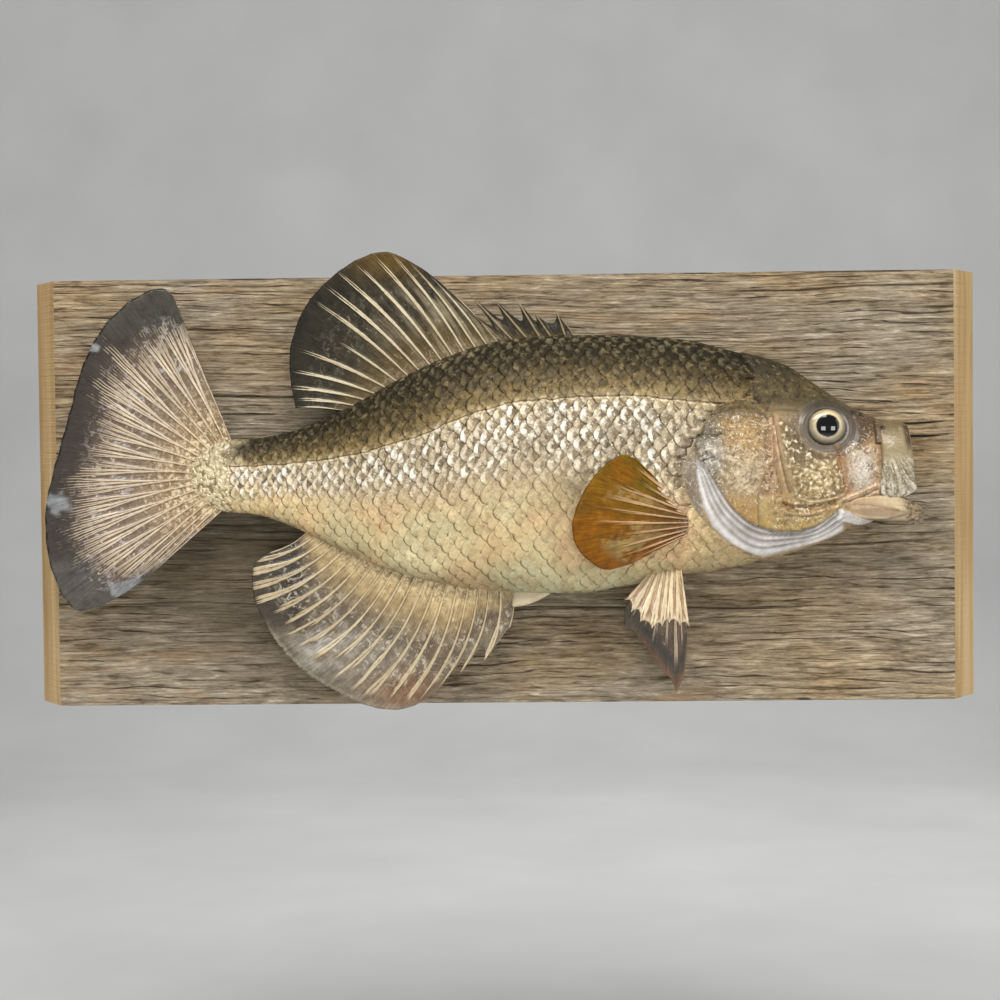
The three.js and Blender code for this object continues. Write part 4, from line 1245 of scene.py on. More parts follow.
def head_foil(tree, base, foil, pebble):
    """Crinkled foil and hammered knobs: their colour, their height and where they shine.
    The colour has painted shade in the hollows and seams and painted highlights on crests and knob tops.
    """
    crinkle = grain(tree, 430, 5, rough=0.7, warp=1.6)
    knobs = between(plus(swirled_cells(tree), times(crinkle, 0.5)), 0.9, 0.44)
    sparks = grain(tree, 760, 3, rough=0.65, warp=1.0)
    shine = plus(between(crinkle, 0.57, 0.67), between(sparks, 0.6, 0.68))
    shine = times(sums("MINIMUM", shine, 1), foil)
    crinkle_shade = times(between(crinkle, 0.49, 0.36), foil)
    seams = times(between(knobs, 0.45, 0.05), pebble)
    tops = times(between(knobs, 0.6, 0.95), pebble)
    # Painted shade in the foil's hollows and the knobs' seams, painted highlights on the foil's crests and
    # the knobs' tops.
    base = daub(base, crinkle_shade, 0.85, (84, 66, 42))
    base = daub(base, shine, 0.9, (246, 238, 220))
    base = daub(base, seams, 0.75, (104, 80, 44))
    base = daub(base, tops, 0.72, (246, 231, 196))
    relief = plus(times(foil, crinkle), times(pebble, knobs))
    return base, relief, plus(shine, tops)


def side_line(tree, base, drop, speck, bare):
    """The thin dark lateral line, where the skin is bare of knobs, and its cream lower edge."""
    wander = plus(drop, between(grain(tree, 190, 2), 0.3, 0.7, -0.5, 0.5))
    low_edge = sums("ABSOLUTE", plus(wander, -0.75))
    cream = times(between(low_edge, 0.5, 0.25), between(speck, 0.4, 0.55))
    base = daub(base, cream, 0.55, (232, 216, 176))
    line = times(between(sums("ABSOLUTE", wander), 0.42, 0.18), bare)
    return daub(base, line, 0.75, (78, 56, 34))


def fish_finish(name, scales=False, marked=True):
    """Painted skin under varnish; marked skin has the lateral line and the dark pepper of the back."""
    plain = {"Coat Weight": 0.35, "Coat Roughness": 0.12, "Specular IOR Level": 0.2 if scales else 0.3}
    material, tree, shader = new_finish(name, plain)
    speck = grain(tree, 620, 3, rough=0.7)
    cloud = grain(tree, 150, 4, rough=0.62)
    clouds = ramp(cloud, [(0.3, (0.82, 0.79, 0.74)), (0.68, (1.14, 1.13, 1.1))])
    base = blend(0.85, stored(tree, "paint", "Color"), clouds, "MULTIPLY")
    rough = between(cloud, 0.3, 0.7, 0.34, 0.5)
    height = times(plus(speck, cloud), 0.35)
    metal, bare = 0.0, 1.0
    if marked:
        upper = stored(tree, "upper")
        base = dark_back(tree, base, speck, upper)
        rough = plus(rough, times(upper, 0.3))
        varnish = between(upper, 0, 1, 0.1 if scales else 0.35, 0.04)
        plug(shader, {"Coat Weight": varnish})
    if scales:
        base, glint = scale_colours(tree, base, upper)
        rough = minus(rough, times(glint, 0.22))
    else:
        foil, pebble = stored(tree, "foil"), stored(tree, "pebble")
        base, relief, bright = head_foil(tree, base, foil, pebble)
        height = plus(height, relief)
        rough = minus(rough, times(bright, 0.2))
        metal, bare = times(plus(foil, pebble), 0.3), minus(1, pebble)
    if marked:
        drop = stored(tree, "drop")
        base = side_line(tree, base, drop, speck, bare)
        silver = times(between(drop, -2, 2), between(drop, 36, 20))
        metal = plus(metal, times(silver, 0.3))
    plug(shader, {"Metallic": metal, "Base Color": base, "Roughness": rough})
    bump(shader, height, 0.5, 0.9)
    return material


SKIN_NODES = ("head", "gill_cover_near", "gill_cover_far", "cheek_near", "cheek_far", "throat", "trunk",
              "tail_base")
dress_piece(skin, fish_finish("painted_fish_skin"), "fish_skin", *SKIN_NODES)

# %% [markdown]
# ## The scales
# Crappie scales lie in slanting rows, like roof tiles, with the free, rounded edge towards the tail. One
# scale is shaped first: a small grid, crowned, with its far edge rolled down and its underside closed.
# Copies of it are then laid on the flank, each place of each copy put on the form itself, so that a
# scale bends with the body under it. Rows run alongside the lateral line, and the scales get smaller
# towards the tail. There is one coat for each side.

# %% One scale
SCALE_ALONG = [0, 0.3, 0.62, 0.88, 1.0]
SCALE_LIFT = [0.0, 0.34, 0.6, 0.76, 0.5]
SCALE_ACROSS = 6
ROUND_BACK, NARROW_ROOT, CROWN = 0.36, 0.3, 0.14


def one_scale():
    """A scale's points as (along 0-1, across -1 to 1, lift 0-1) rows, and its faces."""
    shape = bmesh.new()
    bmesh.ops.create_grid(shape, x_segments=len(SCALE_ALONG) - 1, y_segments=SCALE_ACROSS, size=0.5)
    rim = {v for e in shape.edges if e.is_boundary for v in e.verts}
    for vert in shape.verts:
        column = round((vert.co.x + 0.5) * (len(SCALE_ALONG) - 1))
        across = vert.co.y * 2
        vert.co = (SCALE_ALONG[column], across, SCALE_LIFT[column] + CROWN * (1 - across**2))
        if abs(across) > 0.99:
            vert.co.z -= CROWN
    close_up(shape)
    points = np.array([tuple(vert.co) for vert in shape.verts])
    faces = [[vert.index for vert in face.verts] for face in shape.faces]
    shape.free()
    return points, faces, len(rim)


SCALE_POINTS, SCALE_FACES, rim_count = one_scale()
print("one scale:", len(SCALE_POINTS), "points,", len(SCALE_FACES), "faces,", rim_count, "on its rim")

# %% Laying the scales
PITCH, ROW_GAP = 5.45, 3.95
SCALE_LENGTH, SCALE_HALF = 8.6, 4.25
TAPER_LINE = [(-135, 0.7), (-100, 0.74), (-50, 0.92), (-10, 1.0), (100, 1.0)]
COAT_FRONT, COAT_BACK = 106, -108
SHARE_LIMITS, SCALE_SHARES = (0.012, 0.972), (0.002, 0.996)
ROW_NUMBERS = range(-16, 30)
UNDER_HEAD = 1.6
BAKE_PATCH = 0.003


def taper_at(x):
    """The size of the scales along the body: 1 in front, less towards the tail."""
    xs, sizes = zip(*TAPER_LINE)
    return np.interp(x, xs, sizes)


def scale_roots():
    """Where each scale grows on a flank: rows of (x, share, size)."""
    xs = [float(COAT_FRONT)]
    while xs[-1] > COAT_BACK:
        xs.append(xs[-1] - PITCH * taper_at(xs[-1]) / 2)
    roots = []
    for row in ROW_NUMBERS:
        for x in xs[row % 2 :: 2]:
            size = float(taper_at(x))
            share = float(share_below_line(x, row * ROW_GAP * size))
            if SHARE_LIMITS[0] < share < SHARE_LIMITS[1]:
                roots.append((x, share, size))
    roots = np.array(roots)
    z = table_at(FLANK, roots[:, 0], roots[:, 1])[:, 2]
    return roots[roots[:, 0] < trunk_front(z) + UNDER_HEAD]


def scale_coat(name, side, seed):
    """All the scales of one flank as one mesh."""
    luck = np.random.default_rng(seed)
    roots = scale_roots()
    count, points = len(roots), len(SCALE_POINTS)
    along, across, lift = [np.tile(SCALE_POINTS[:, k], count) for k in range(3)]
    x0, share0, size = [np.repeat(roots[:, k], points) for k in range(3)]
    tone = np.repeat(luck.random(count), points)
    tilt = np.repeat(luck.normal(0, 0.05, count), points)
    stand = np.repeat(luck.uniform(0.85, 1.15, count), points)
    half = SCALE_HALF * size * (1 - NARROW_ROOT * (1 - along) ** 2)
    reach = SCALE_LENGTH * size * along * (1 - ROUND_BACK * across**2)
    x = x0 - reach
    down = across * half + tilt * reach
    share = np.clip(share_below_line(x, drop_below_line(x0, share0) + down), *SCALE_SHARES)
    settled = 0.25 + 0.75 * smooth((trunk_front(table_at(FLANK, x, share)[:, 2]) + 1 - x) / 12)
    rise = rise_of(x, share)
    raised = 0.26 * settled * (1 - 0.7 * smooth((rise + 0.04) / 0.12))
    spots = on_flank(x, share, side, -COAT_DEPTH + 0.05 + raised * lift * stand * size)
    faces = [[index + step * points for index in face] for step in range(count) for face in SCALE_FACES]
    mesh = bpy.data.meshes.new(name)
    mesh.from_pydata(spots * MM, [], faces)
    shade = np.repeat(luck.normal(1, 0.07, count), points)
    paint = body_markings(x, spots[:, 2], rise) * shade[:, None]
    below = smooth((-rise - 0.3) / 0.3) * (0.3 + 0.7 * tone)
    patch = slow_noise(x, spots[:, 2], 15, 6.6)
    for tint, chosen in ((PEACH, patch), (MINT, -patch)):
        paint = dab(paint, tint, 0.5 * below * smooth((chosen - 0.05) / 0.25))
    drop = drop_below_line(x, share)
    calm = 1 - 0.75 * smooth((x - 60) / 14)
    layers = {"lap": along, "drop": drop, "tone": tone * calm, "upper": upper_share(x, drop),
              "zone": glint_zone(x, drop), "wide": np.abs(across)}
    for layer, values in layers.items():
        mesh.attributes.new(layer, "FLOAT", "POINT").data.foreach_set("value", values)
    tints = np.column_stack([paint, np.ones(len(paint))])
    mesh.attributes.new("paint", "FLOAT_COLOR", "POINT").data.foreach_set("color", tints.ravel())
    lay_bake_patches(mesh, x0, share0, along, across)
    piece = bpy.data.objects.new(name, mesh)
    link(piece)
    settle_faces(piece)
    print(name, count, "scales")
    return piece


def lay_bake_patches(mesh, x0, share0, along, across):
    """Gives each scale a tiny patch at its root's place on the flank's own unrolled shape."""
    u = (x0 - STATIONS[0]) / (STATIONS[-1] - STATIONS[0]) * 0.98 + 0.01 + (along - 0.5) * BAKE_PATCH
    v = share0 * 0.96 + 0.02 + across / 2 * BAKE_PATCH
    corners = np.zeros(len(mesh.loops), int)
    mesh.loops.foreach_get("vertex_index", corners)
    mesh.uv_layers.new(name="OFBake").data.foreach_set("uv", np.column_stack([u, v])[corners].ravel())


def settle_faces(piece):
    """Turns every scale the right way out: laying on one side mirrors the scale's own shape."""
    shape = bmesh.new()
    shape.from_mesh(piece.data)
    bmesh.ops.recalc_face_normals(shape, faces=shape.faces)
    shape.to_mesh(piece.data)
    shape.free()
    piece.data.shade_smooth()


scale_finish = fish_finish("painted_scales", scales=True)
for coat_name, coat_side, coat_seed in (("scale_coat_near", -1.0, 21), ("scale_coat_far", 1.0, 22)):
    dress_piece(scale_coat(coat_name, coat_side, coat_seed), scale_finish, "fish_skin")

# %% [markdown]
# ## The fins
# A fin is a fan of bony rays with a film stretched between them. Soft rays split in two, and again, on
# their way out, and the film goes a little further than they do. Each fin is one blade: thick along its
# rays and thin between them. A share of the way across the fan names a ray, so the distance to the
# nearest ray, folded over once for each split, gives ridge, colour and clearness in one go.

# %% Fin making
RAY_COLUMNS = 16
ROOT_WIDTH = 0.55
FILM, SCALLOP = 0.4, 0.004
WORN_BONE = (170, 146, 112)


def strand_gap(distance, v, splits):
    """How far a place is from the nearest strand, when a ray splits at each start by a spread."""
    for start, spread in splits:
        distance = np.abs(distance - spread * smooth((v - start) / (1 - start)))
    return distance


def fin_blade(name, spread, facts, tint):
    """A fin: spread is its root and margin curves; facts say how its rays run; tint paints its film."""
    root_at, margin_at = spread
    rays = facts["rays"]
    luck = np.random.default_rng(facts["seed"])
    ends = luck.uniform(*facts["ray_ends"], (rays + 1, 2))
    for ray, end in facts.get("short", {}).items():
        ends[ray] = end
    tones = luck.random((rays + 1, 2))
    tears = luck.random(rays + 1) ** 3 * facts.get("tears", 0)
    notches = np.where(np.arange(rays + 1) < facts.get("spines", 0), facts.get("notch", 0), 0)

    def parts(u):
        """How far past the nearest ray a place is, that ray, and the ray before the place."""
        along = u * (rays - 1)
        ray = np.round(along).astype(int)
        return along - ray, ray, np.floor(along).astype(int)

    def plain(u, v):
        """The fin's middle sheet, with an even margin."""
        root, margin = root_at(u), margin_at(u)
        bend = facts.get("bend", 0) * np.sin(v * math.pi)
        spot = root + (margin - root) * v[:, None]
        across = np.column_stack([-(margin - root)[:, 2], np.zeros(len(u)), (margin - root)[:, 0]])
        spot += across * bend[:, None]
        wave = np.sin(u * facts.get("waves", 9) + 1) * np.sin(v * 2.6) * facts.get("wave", 0.8)
        spot[:, 1] += wave * v
        return spot

    def sheet(u, v):
        """The middle sheet with its margin notched, torn and scalloped between the rays."""
        phase, _, left = parts(u)
        between_rays = np.sin(math.pi * np.abs(phase))
        short = (notches[left] + tears[left]) * between_rays**0.7 + SCALLOP * between_rays
        return plain(u, v * (1 - short))

    def dress(u, v):
        """Half the thickness at each place, and what the finish needs to know there."""
        phase, ray, _ = parts(u)
        half = (phase > 0).astype(int)
        step = 0.5 / (rays - 1)
        ahead, behind = np.minimum(u + step, 1), np.maximum(u - step, 0)
        gap = np.linalg.norm(plain(ahead, v) - plain(behind, v), axis=1) * step * 2 / (ahead - behind)
        distance = np.abs(phase) * gap
        reach = ends[ray, half] - v
        at_root = facts.get("root", ROOT_WIDTH)
        width = facts["width"] * (at_root + (1 - at_root) * smooth(v / 0.3))
        width = width * smooth(reach / facts.get("fade", 0.16))
        strand = strand_gap(distance, v, facts["splits"])
        ridge = np.exp(-((strand / np.maximum(width * 1.3, 0.05)) ** 2))
        thick = facts["thick"][0] + (facts["thick"][1] - facts["thick"][0]) * v
        offset = FILM / 2 + ridge * np.maximum(thick - FILM, 0) / 2
        spot = plain(u, v)
        paint = tint(u, v, spot[:, 0], spot[:, 2])
        return offset, {"paint": paint, "ray": distance, "out": v, "reach": reach, "tone": tones[ray, half]}

    return blade(name, (rays - 1) * RAY_COLUMNS, facts.get("rows", 60), sheet, dress, base=plain)


def fin_strands(tree, facts):
    """1 on a strand of a ray, 0 on the film, drawn as finely as the finish allows."""
    out = stored(tree, "out")
    sway = facts.get("wobble", 0.3)
    wobble = between(grain(tree, 110, 2), 0.3, 0.7, -sway, sway)
    gap = sums("ABSOLUTE", plus(stored(tree, "ray"), times(wobble, out)))
    for start, spread in facts["splits"]:
        inputs = {"Value": out, 1: start, 2: 1.0, 3: 0.0, 4: spread}
        shift = add(tree, "MapRange", inputs, interpolation_type="SMOOTHSTEP").outputs[0]
        gap = sums("ABSOLUTE", minus(gap, shift))
    width = between(out, 0.0, 0.3, facts["width"] * facts.get("root", ROOT_WIDTH), facts["width"])
    ragged = between(grain(tree, 330, 3), 0.36, 0.64, -0.5, 0.5)
    ragged = times(ragged, facts.get("ragged", 0.04))
    reach = plus(stored(tree, "reach"), ragged)
    width = times(width, between(reach, 0, facts.get("fade", 0.2), 0.02, 1))
    worn = between(grain(tree, 420, 3), 0.3, 0.7, 0.75, 1.2)
    return between(sums("DIVIDE", gap, times(width, worn)), 1.15, 0.6)


def clouded_film(tree, out, cloud, fleck, facts, glint_strength):
    """The film's paint with slow clouds, painted glints in flecks and pools of painted sheen."""
    clouds = ramp(cloud, [(0.3, (0.66, 0.63, 0.6)), (0.68, (1.25, 1.22, 1.18))])
    base = blend(0.9, stored(tree, "paint", "Color"), clouds, "MULTIPLY")
    # Painted glints: pale flecks where the film crinkles.
    painted_glints = times(between(fleck, 0.57, 0.66), between(cloud, 0.48, 0.6),
                    between(out, 0.86, 0.74))
    base = daub(base, painted_glints, glint_strength, (222, 212, 192))
    # Painted sheen: pale pools where the glossy film catches the light.
    sheen_pools = between(grain(tree, 190, 5, rough=0.68, warp=1.6), 0.54, 0.6, 0, facts.get("painted_sheen", 0.0))
    sheen_pools = times(between(out, 0.3, 0.5), between(out, 0.88, 0.72), sheen_pools)
    return blend(sheen_pools, base, opaque(*facts.get("painted_sheen_tint", (212, 204, 184))))


def streaks_along(tree, out):
    """Noise drawn out along the rays, different on each of them."""
    places = {0: stored(tree, "ray"), 1: times(out, 4), 2: times(stored(tree, "tone"), 40)}
    along = add(tree, "CombineXYZ", places).outputs[0]
    inputs = {"Vector": along, "Scale": 1.5, "Detail": 3.0, "Roughness": 0.6}
    return add(tree, "TexNoise", inputs).outputs[0]


def bone_colour(tree, ray_tint, fleck, streak, facts):
    """The rays' own colour: streaked, worn here and there, and sunk into the film at their tips."""
    mottle = plus(times(fleck, 0.4), times(streak, 0.6))
    uneven = ramp(mottle, [(0.36, (0.62, 0.57, 0.5)), (0.56, (1.12, 1.12, 1.12))])
    bone = blend(0.8, opaque(*ray_tint), uneven, "MULTIPLY")
    bone = daub(bone, stored(tree, "tone"), 0.5, WORN_BONE)
    tips = between(stored(tree, "reach"), facts.get("dim", 0.1), 0, facts.get("sunk", 0.1), 0.75)
    return blend(tips, bone, stored(tree, "paint", "Color"))


def root_crumbs(base, near, fleck, tint):
    """Pale crumbs of skin, with dark gaps, where the fin leaves the body."""
    crumbs = between(fleck, 0.47, 0.58)
    gaps = between(crumbs, 1, 0, 0, 0.5)
    base = blend(times(near, gaps), base, opaque(104, 84, 56))
    return blend(times(crumbs, 0.7, near), base, opaque(*tint))


def fin_finish(name, facts, ray_tint, clear, gloss=0.24, coat=0.4, glint_strength=0.35, shine=0.4):
    """Film and rays: the film lets some of what is behind it through and has painted glints where it
    crinkles.
    """
    plain = {"Coat Weight": coat, "Coat Roughness": 0.1, "Specular IOR Level": shine}
    material, tree, shader = new_finish(name, plain)
    out = stored(tree, "out")
    cloud = grain(tree, 230, 4, rough=0.65)
    fleck = grain(tree, 640, 3, rough=0.65)
    strand, streak = fin_strands(tree, facts), streaks_along(tree, out)
    base = clouded_film(tree, out, cloud, fleck, facts, glint_strength)
    streaks = ramp(streak, [(0.34, (0.62, 0.58, 0.54)), (0.62, (1.3, 1.28, 1.24))])
    base = blend(0.8, base, streaks, "MULTIPLY")
    # Painted shade: a dark fringe along each side of a ray's strands.
    shade = times(between(strand, 0, 0.4), between(strand, 0.9, 0.5, 0, 0.55))
    base = blend(shade, base, opaque(64, 50, 36))
    bone = bone_colour(tree, ray_tint, fleck, streak, facts)
    base = blend(between(strand, 0.35, 0.8), base, bone)
    end, tint = facts.get("crumbs", (0.14, (190, 170, 132)))
    near = between(plus(out, between(cloud, 0.3, 0.7, -0.08, 0.08)), end, end * 0.25)
    near = times(near, between(strand, 0.8, 0.3, 0.35, 1))
    base = root_crumbs(base, near, fleck, tint)
    film = times(minus(1, strand), between(out, 0.1, 0.3))
    seen = times(film, between(cloud, 0.3, 0.7, clear, clear * 0.45))
    rough = between(cloud, 0.3, 0.7, gloss, gloss + 0.2)
    plug(shader, {"Base Color": base, "Alpha": minus(1, seen), "Roughness": rough})
    crinkle = plus(times(fleck, 0.6), cloud)
    bump(shader, plus(crinkle, times(strand, 0.7)), 0.4, 0.9)
    return material


# %% Tail fin
TAIL_SHEENS = [((-158, -38.5), (11, 7)), ((-187, -3), (8, 6)), ((-171, 62), (4, 2.4))]
TAIL_ROOT = [(-113.5, -36, 21), (-126, -36, 15.5), (-129.5, -36, 8), (-127, -36, 0), (-117, -36, -6)]
TAIL_MARGIN = [(-137.4, -38.5, 83.4), (-142.6, -39, 86.9), (-154, -39.5, 82.6), (-166.4, -40, 71.4),
               (-176, -40, 53.8), (-183.4, -39.5, 29.8), (-190.4, -39.5, 6.8), (-193, -40, -10.3),
               (-190.4, -41, -30.6), (-181, -42, -47.8), (-166, -41, -45), (-150, -39, -35)]


def tail_tint(u, v, x, z):
    """Tan at the root, dark outside, with painted sheens: blue-grey reflections near the margin and on the
    lower lobe.
    """
    film = stops(v, (0, (180, 152, 106)), (0.16, (150, 124, 88)), (0.4, (122, 102, 82)), (0.7, (98, 82, 68)),
                 (0.84, (54, 42, 31)), (1, (40, 32, 23)))
    film = dab(film, (54, 51, 40), smooth((z - 62) / 10))
    outer = smooth((v - 0.72) / 0.06)
    ragged = 0.3 * slow_noise(x, z, 3, 2.6)
    # Painted reflection: the outer part of the lower lobe is greyed, as its glossy film catches the light.
    film = dab(film, (74, 70, 64), smooth((-22 - z) / 10) * outer)
    # Painted sheen: pale blue-grey patches where the glossy film reflects the light.
    for spot, size in TAIL_SHEENS:
        sheen = smooth((pillow(x, z, spot, size) - 0.5 + ragged) / 0.25)
        film = dab(film, (168, 175, 182), (0.5 + 0.3 * ragged) * outer * sheen)
    return film


TAIL_FACTS = {"rays": 19, "seed": 31, "ray_ends": (0.75, 0.93), "width": 0.33, "root": 1.3, "fade": 0.07,
              "splits": [(0.04, 2.6), (0.18, 1.35), (0.36, 0.7)], "thick": (2.0, 0.8), "tears": 0.004,
              "short": {0: 0.84, 1: 0.8, 2: 0.8, 3: 0.78, 12: 0.88, 13: 0.84, 14: 0.78, 15: 0.74, 16: 0.74,
                        17: 0.84, 18: 0.94},
              "dim": 0.2, "sunk": 0.16, "rows": 64, "wave": 1.1, "waves": 13, "ragged": 0.14,
              "painted_sheen": 0.62, "painted_sheen_tint": (190, 187, 184), "crumbs": (0.42, (232, 214, 176))}
tail = fin_blade(
    "tail_fan",
    (curve_through(TAIL_ROOT, even=True), curve_through(TAIL_MARGIN, even=True)),
    TAIL_FACTS,
    tail_tint,
)
tail_film = fin_finish("tail_film", TAIL_FACTS, (232, 213, 184), 0.1, glint_strength=0.85)
dress_piece(tail, tail_film, "fin_film", "tail_fin")

# %% Back fins
SOFT_ROOT = [(1, -41, 60), (-20, -40.4, 54), (-42, -39.2, 44.4), (-64, -38, 34)]
SOFT_MARGIN = [(-24.8, -42.4, 87.5), (-34, -42.6, 94.4), (-46.8, -42.4, 100.3), (-59.4, -42, 97.2),
               (-71.7, -41.6, 88.8), (-81.9, -41.2, 77.4), (-87.8, -41, 62), (-88.2, -41, 48),
               (-86, -41, 35.6)]
SPINES = [((32, 62.6), (26.6, 71.6)), ((27.8, 62.6), (23.6, 75)), ((22.4, 62.4), (13.9, 75)),
          ((17.8, 62), (6.5, 81.2)), ((12.8, 61.6), (-3.1, 81)), ((7, 61), (-14.3, 84.2)),
          ((3, 60.4), (-15, 77))]


def spine_fan(pairs, root_y, tip_y):
    """Root and margin curves through spines that are each given one by one."""
    roots = [(root[0], root_y, root[1]) for root, _ in pairs]
    tips = [(tip[0], tip_y, tip[1]) for _, tip in pairs]
    return curve_through(roots), curve_through(tips)


def crowded(u):
    """A share of the way round the fin, drawn on so that the last rays lie close together."""
    return u + 0.07 * np.sin(math.pi * np.clip((u - 0.6) / 0.4, 0, 1))


def dark_fin_tint(u, v, x, z):
    """Olive black, with a pale bloom in front and a brown crest."""
    film = stops(v, (0, (104, 88, 52)), (0.22, (84, 72, 46)), (0.45, (54, 49, 36)), (1, (38, 36, 28)))
    front = smooth((x + 60) / 30) * smooth((2 - x) / 8) * smooth((0.8 - v) / 0.25)
    bloom = smooth(slow_noise(u * 70, v * 7, 2, 5.1) * 1.6 + 0.4)
    film = dab(film, (132, 122, 100), 0.8 * front * bloom)
    return dab(film, (92, 72, 32), pillow(x, z, (-46, 98), (18, 8)))


SOFT_FACTS = {"rays": 15, "seed": 32, "ray_ends": (0.94, 1.04), "splits": [(0.0, 0.44)], "width": 0.52,
              "short": {9: 0.64, 10: 0.92}, "thick": (1.9, 0.8), "wave": 0.9, "bend": -0.03,
              "wobble": 0.2, "root": 0.62, "fade": 0.36, "painted_sheen": 0.06, "crumbs": (0.16, (164, 150, 126))}
SPINY_FACTS = {"rays": 7, "seed": 33, "ray_ends": (1.1, 1.2), "splits": [], "width": 0.62,
               "thick": (1.8, 0.8), "spines": 7, "notch": 0.42, "tears": 0.3, "rows": 40}
soft_margin_at = curve_through(SOFT_MARGIN, even=True)
soft_fin = fin_blade(
    "soft_back_fin",
    (curve_through(SOFT_ROOT, even=True), lambda u: soft_margin_at(crowded(u))),
    SOFT_FACTS,
    dark_fin_tint,
)
spiny_fin = fin_blade("spiny_back_fin", spine_fan(SPINES, -41.2, -42.2), SPINY_FACTS, dark_fin_tint)
dull = {"coat": 0.12, "glint_strength": 0.2, "shine": 0.15}
dark_film = fin_finish("dark_fin_film", SOFT_FACTS, (222, 209, 176), 0.06, **dull)
dress_piece(soft_fin, dark_film, "fin_film", "soft_dorsal_fin")
spiny_film = fin_finish("spiny_film", SPINY_FACTS, (150, 136, 104), 0.1, **dull)
dress_piece(spiny_fin, spiny_film, "fin_film", "spiny_dorsal_fin")

# %% Anal fin
ANAL_ROOT = [(3.4, -40.6, -38), (-20, -39.8, -37), (-48, -38.6, -29), (-66, -37.8, -21), (-80, -37.2, -14)]
ANAL_MARGIN = [(3.2, -41, -57), (-3.6, -41.2, -69), (-12.8, -41.4, -73.4), (-26.8, -41.6, -83),
               (-38, -41.6, -90), (-48, -41.6, -91.5), (-59, -41.6, -89.2), (-70, -41.6, -84),
               (-81, -41.6, -77.4), (-89.5, -41.4, -70), (-96.4, -41.2, -61.4), (-101.2, -41, -53),
               (-104.6, -40.6, -44.4), (-105.6, -40.4, -36), (-104, -40.2, -29.4), (-97.4, -40, -24.6)]


def anal_tint(u, v, x, z):
    """Cream at the root, grey outside with pale patches, partly painted sheen, a painted shadow at the rear,
    brown at the lowest edge.
    """
    film = stops(v, (0, (208, 186, 138)), (0.26, (172, 150, 108)), (0.45, (112, 98, 78)),
                 (0.85, (118, 106, 86)), (0.975, (116, 108, 92)), (0.99, (158, 150, 130)),
                 (1, (158, 150, 130)))
    # Pale grey and silver patches: the film's own pale colour with painted sheen where it reflects the light.
    film = dab(film, (152, 148, 134), pillow(x, z, (-54, -74), (16, 14)) * 0.6)
    silver = pillow(x, z, (-74, -65), (14, 9)) * smooth(0.6 + 1.5 * slow_noise(x, z, 5, 8.3))
    film = dab(film, (176, 175, 170), 0.75 * silver)
    # Painted shadow: the rear of the film is darkened where the shade behind the clear fin shows through.
    behind = smooth((-78 - x) / 10) * smooth((v - 0.2) / 0.2) * smooth((z + 62) / 10)
    film = dab(film, (64, 56, 44), behind)
    return dab(film, (132, 96, 66), 0.85 * pillow(x, z, (-42, -84), (16, 9)))


ANAL_FACTS = {"rays": 21, "seed": 34, "ray_ends": (0.76, 0.99), "splits": [(0.25, 0.85), (0.55, 0.4)],
              "width": 0.5, "root": 0.9, "fade": 0.1, "thick": (2.0, 0.7), "spines": 3, "notch": 0.25,
              "short": {0: 1.2, 1: 1.2, 2: 1.2, 16: 1.04, 17: 1.05, 18: 1.06, 19: 1.06, 20: 1.06},
              "sunk": 0.34, "wave": 1.2, "waves": 12, "bend": 0.08, "painted_sheen": 0.6,
              "crumbs": (0.24, (230, 208, 160))}
ANAL_CROWDING = 0.72
anal_margin_at = curve_through(ANAL_MARGIN, even=True)
anal_fin = fin_blade(
    "anal_fin_fan",
    (curve_through(ANAL_ROOT, even=True), lambda u: anal_margin_at(u**ANAL_CROWDING)),
    ANAL_FACTS,
    anal_tint,
)
anal_film = fin_finish("anal_film", ANAL_FACTS, (224, 204, 164), 0.35, 0.16, glint_strength=0.7)
dress_piece(anal_fin, anal_film, "fin_film", "anal_fin")

# %% Breast and belly fins
PECTORAL_ROOT = [(74, -60, -5.6), (76, -60.4, -9), (76.6, -60.4, -12.6), (76, -60.2, -16.2),
                 (74, -59.6, -19.4)]
PECTORAL_MARGIN = [(56.7, -66.4, 11.8), (50.3, -67, 14.9), (43, -67.6, 11.1), (36.4, -68, 4.2),
                   (31.1, -68.2, -5.3), (28.9, -68.2, -14.2), (30.7, -68, -22.3), (36.1, -67.4, -28.4),
                   (42.8, -66.6, -31.8), (53, -65.4, -29.6)]
PELVIC_NEAR = [((61, -34.5), (50.1, -45.2)), ((63, -34), (52.9, -50)), ((65, -33.6), (56.6, -54)),
               ((66.8, -33.2), (61.4, -56.8)), ((68.6, -33), (65.6, -56)), ((70.4, -32.8), (68.6, -54.6)),
               ((72.2, -32.6), (73, -55.8)), ((74.2, -32.4), (77, -56.6))]
PELVIC_FAR = [((62, -34.5), (50.8, -51)), ((64, -34), (51.2, -58.4)), ((66, -33.6), (57, -64.4)),
              ((68, -33.2), (62.4, -71.4)), ((70, -33), (68, -79.4)), ((72, -32.8), (72.8, -86.4)),
              ((74, -32.6), (76, -80)), ((75.4, -32.4), (77.6, -66))]


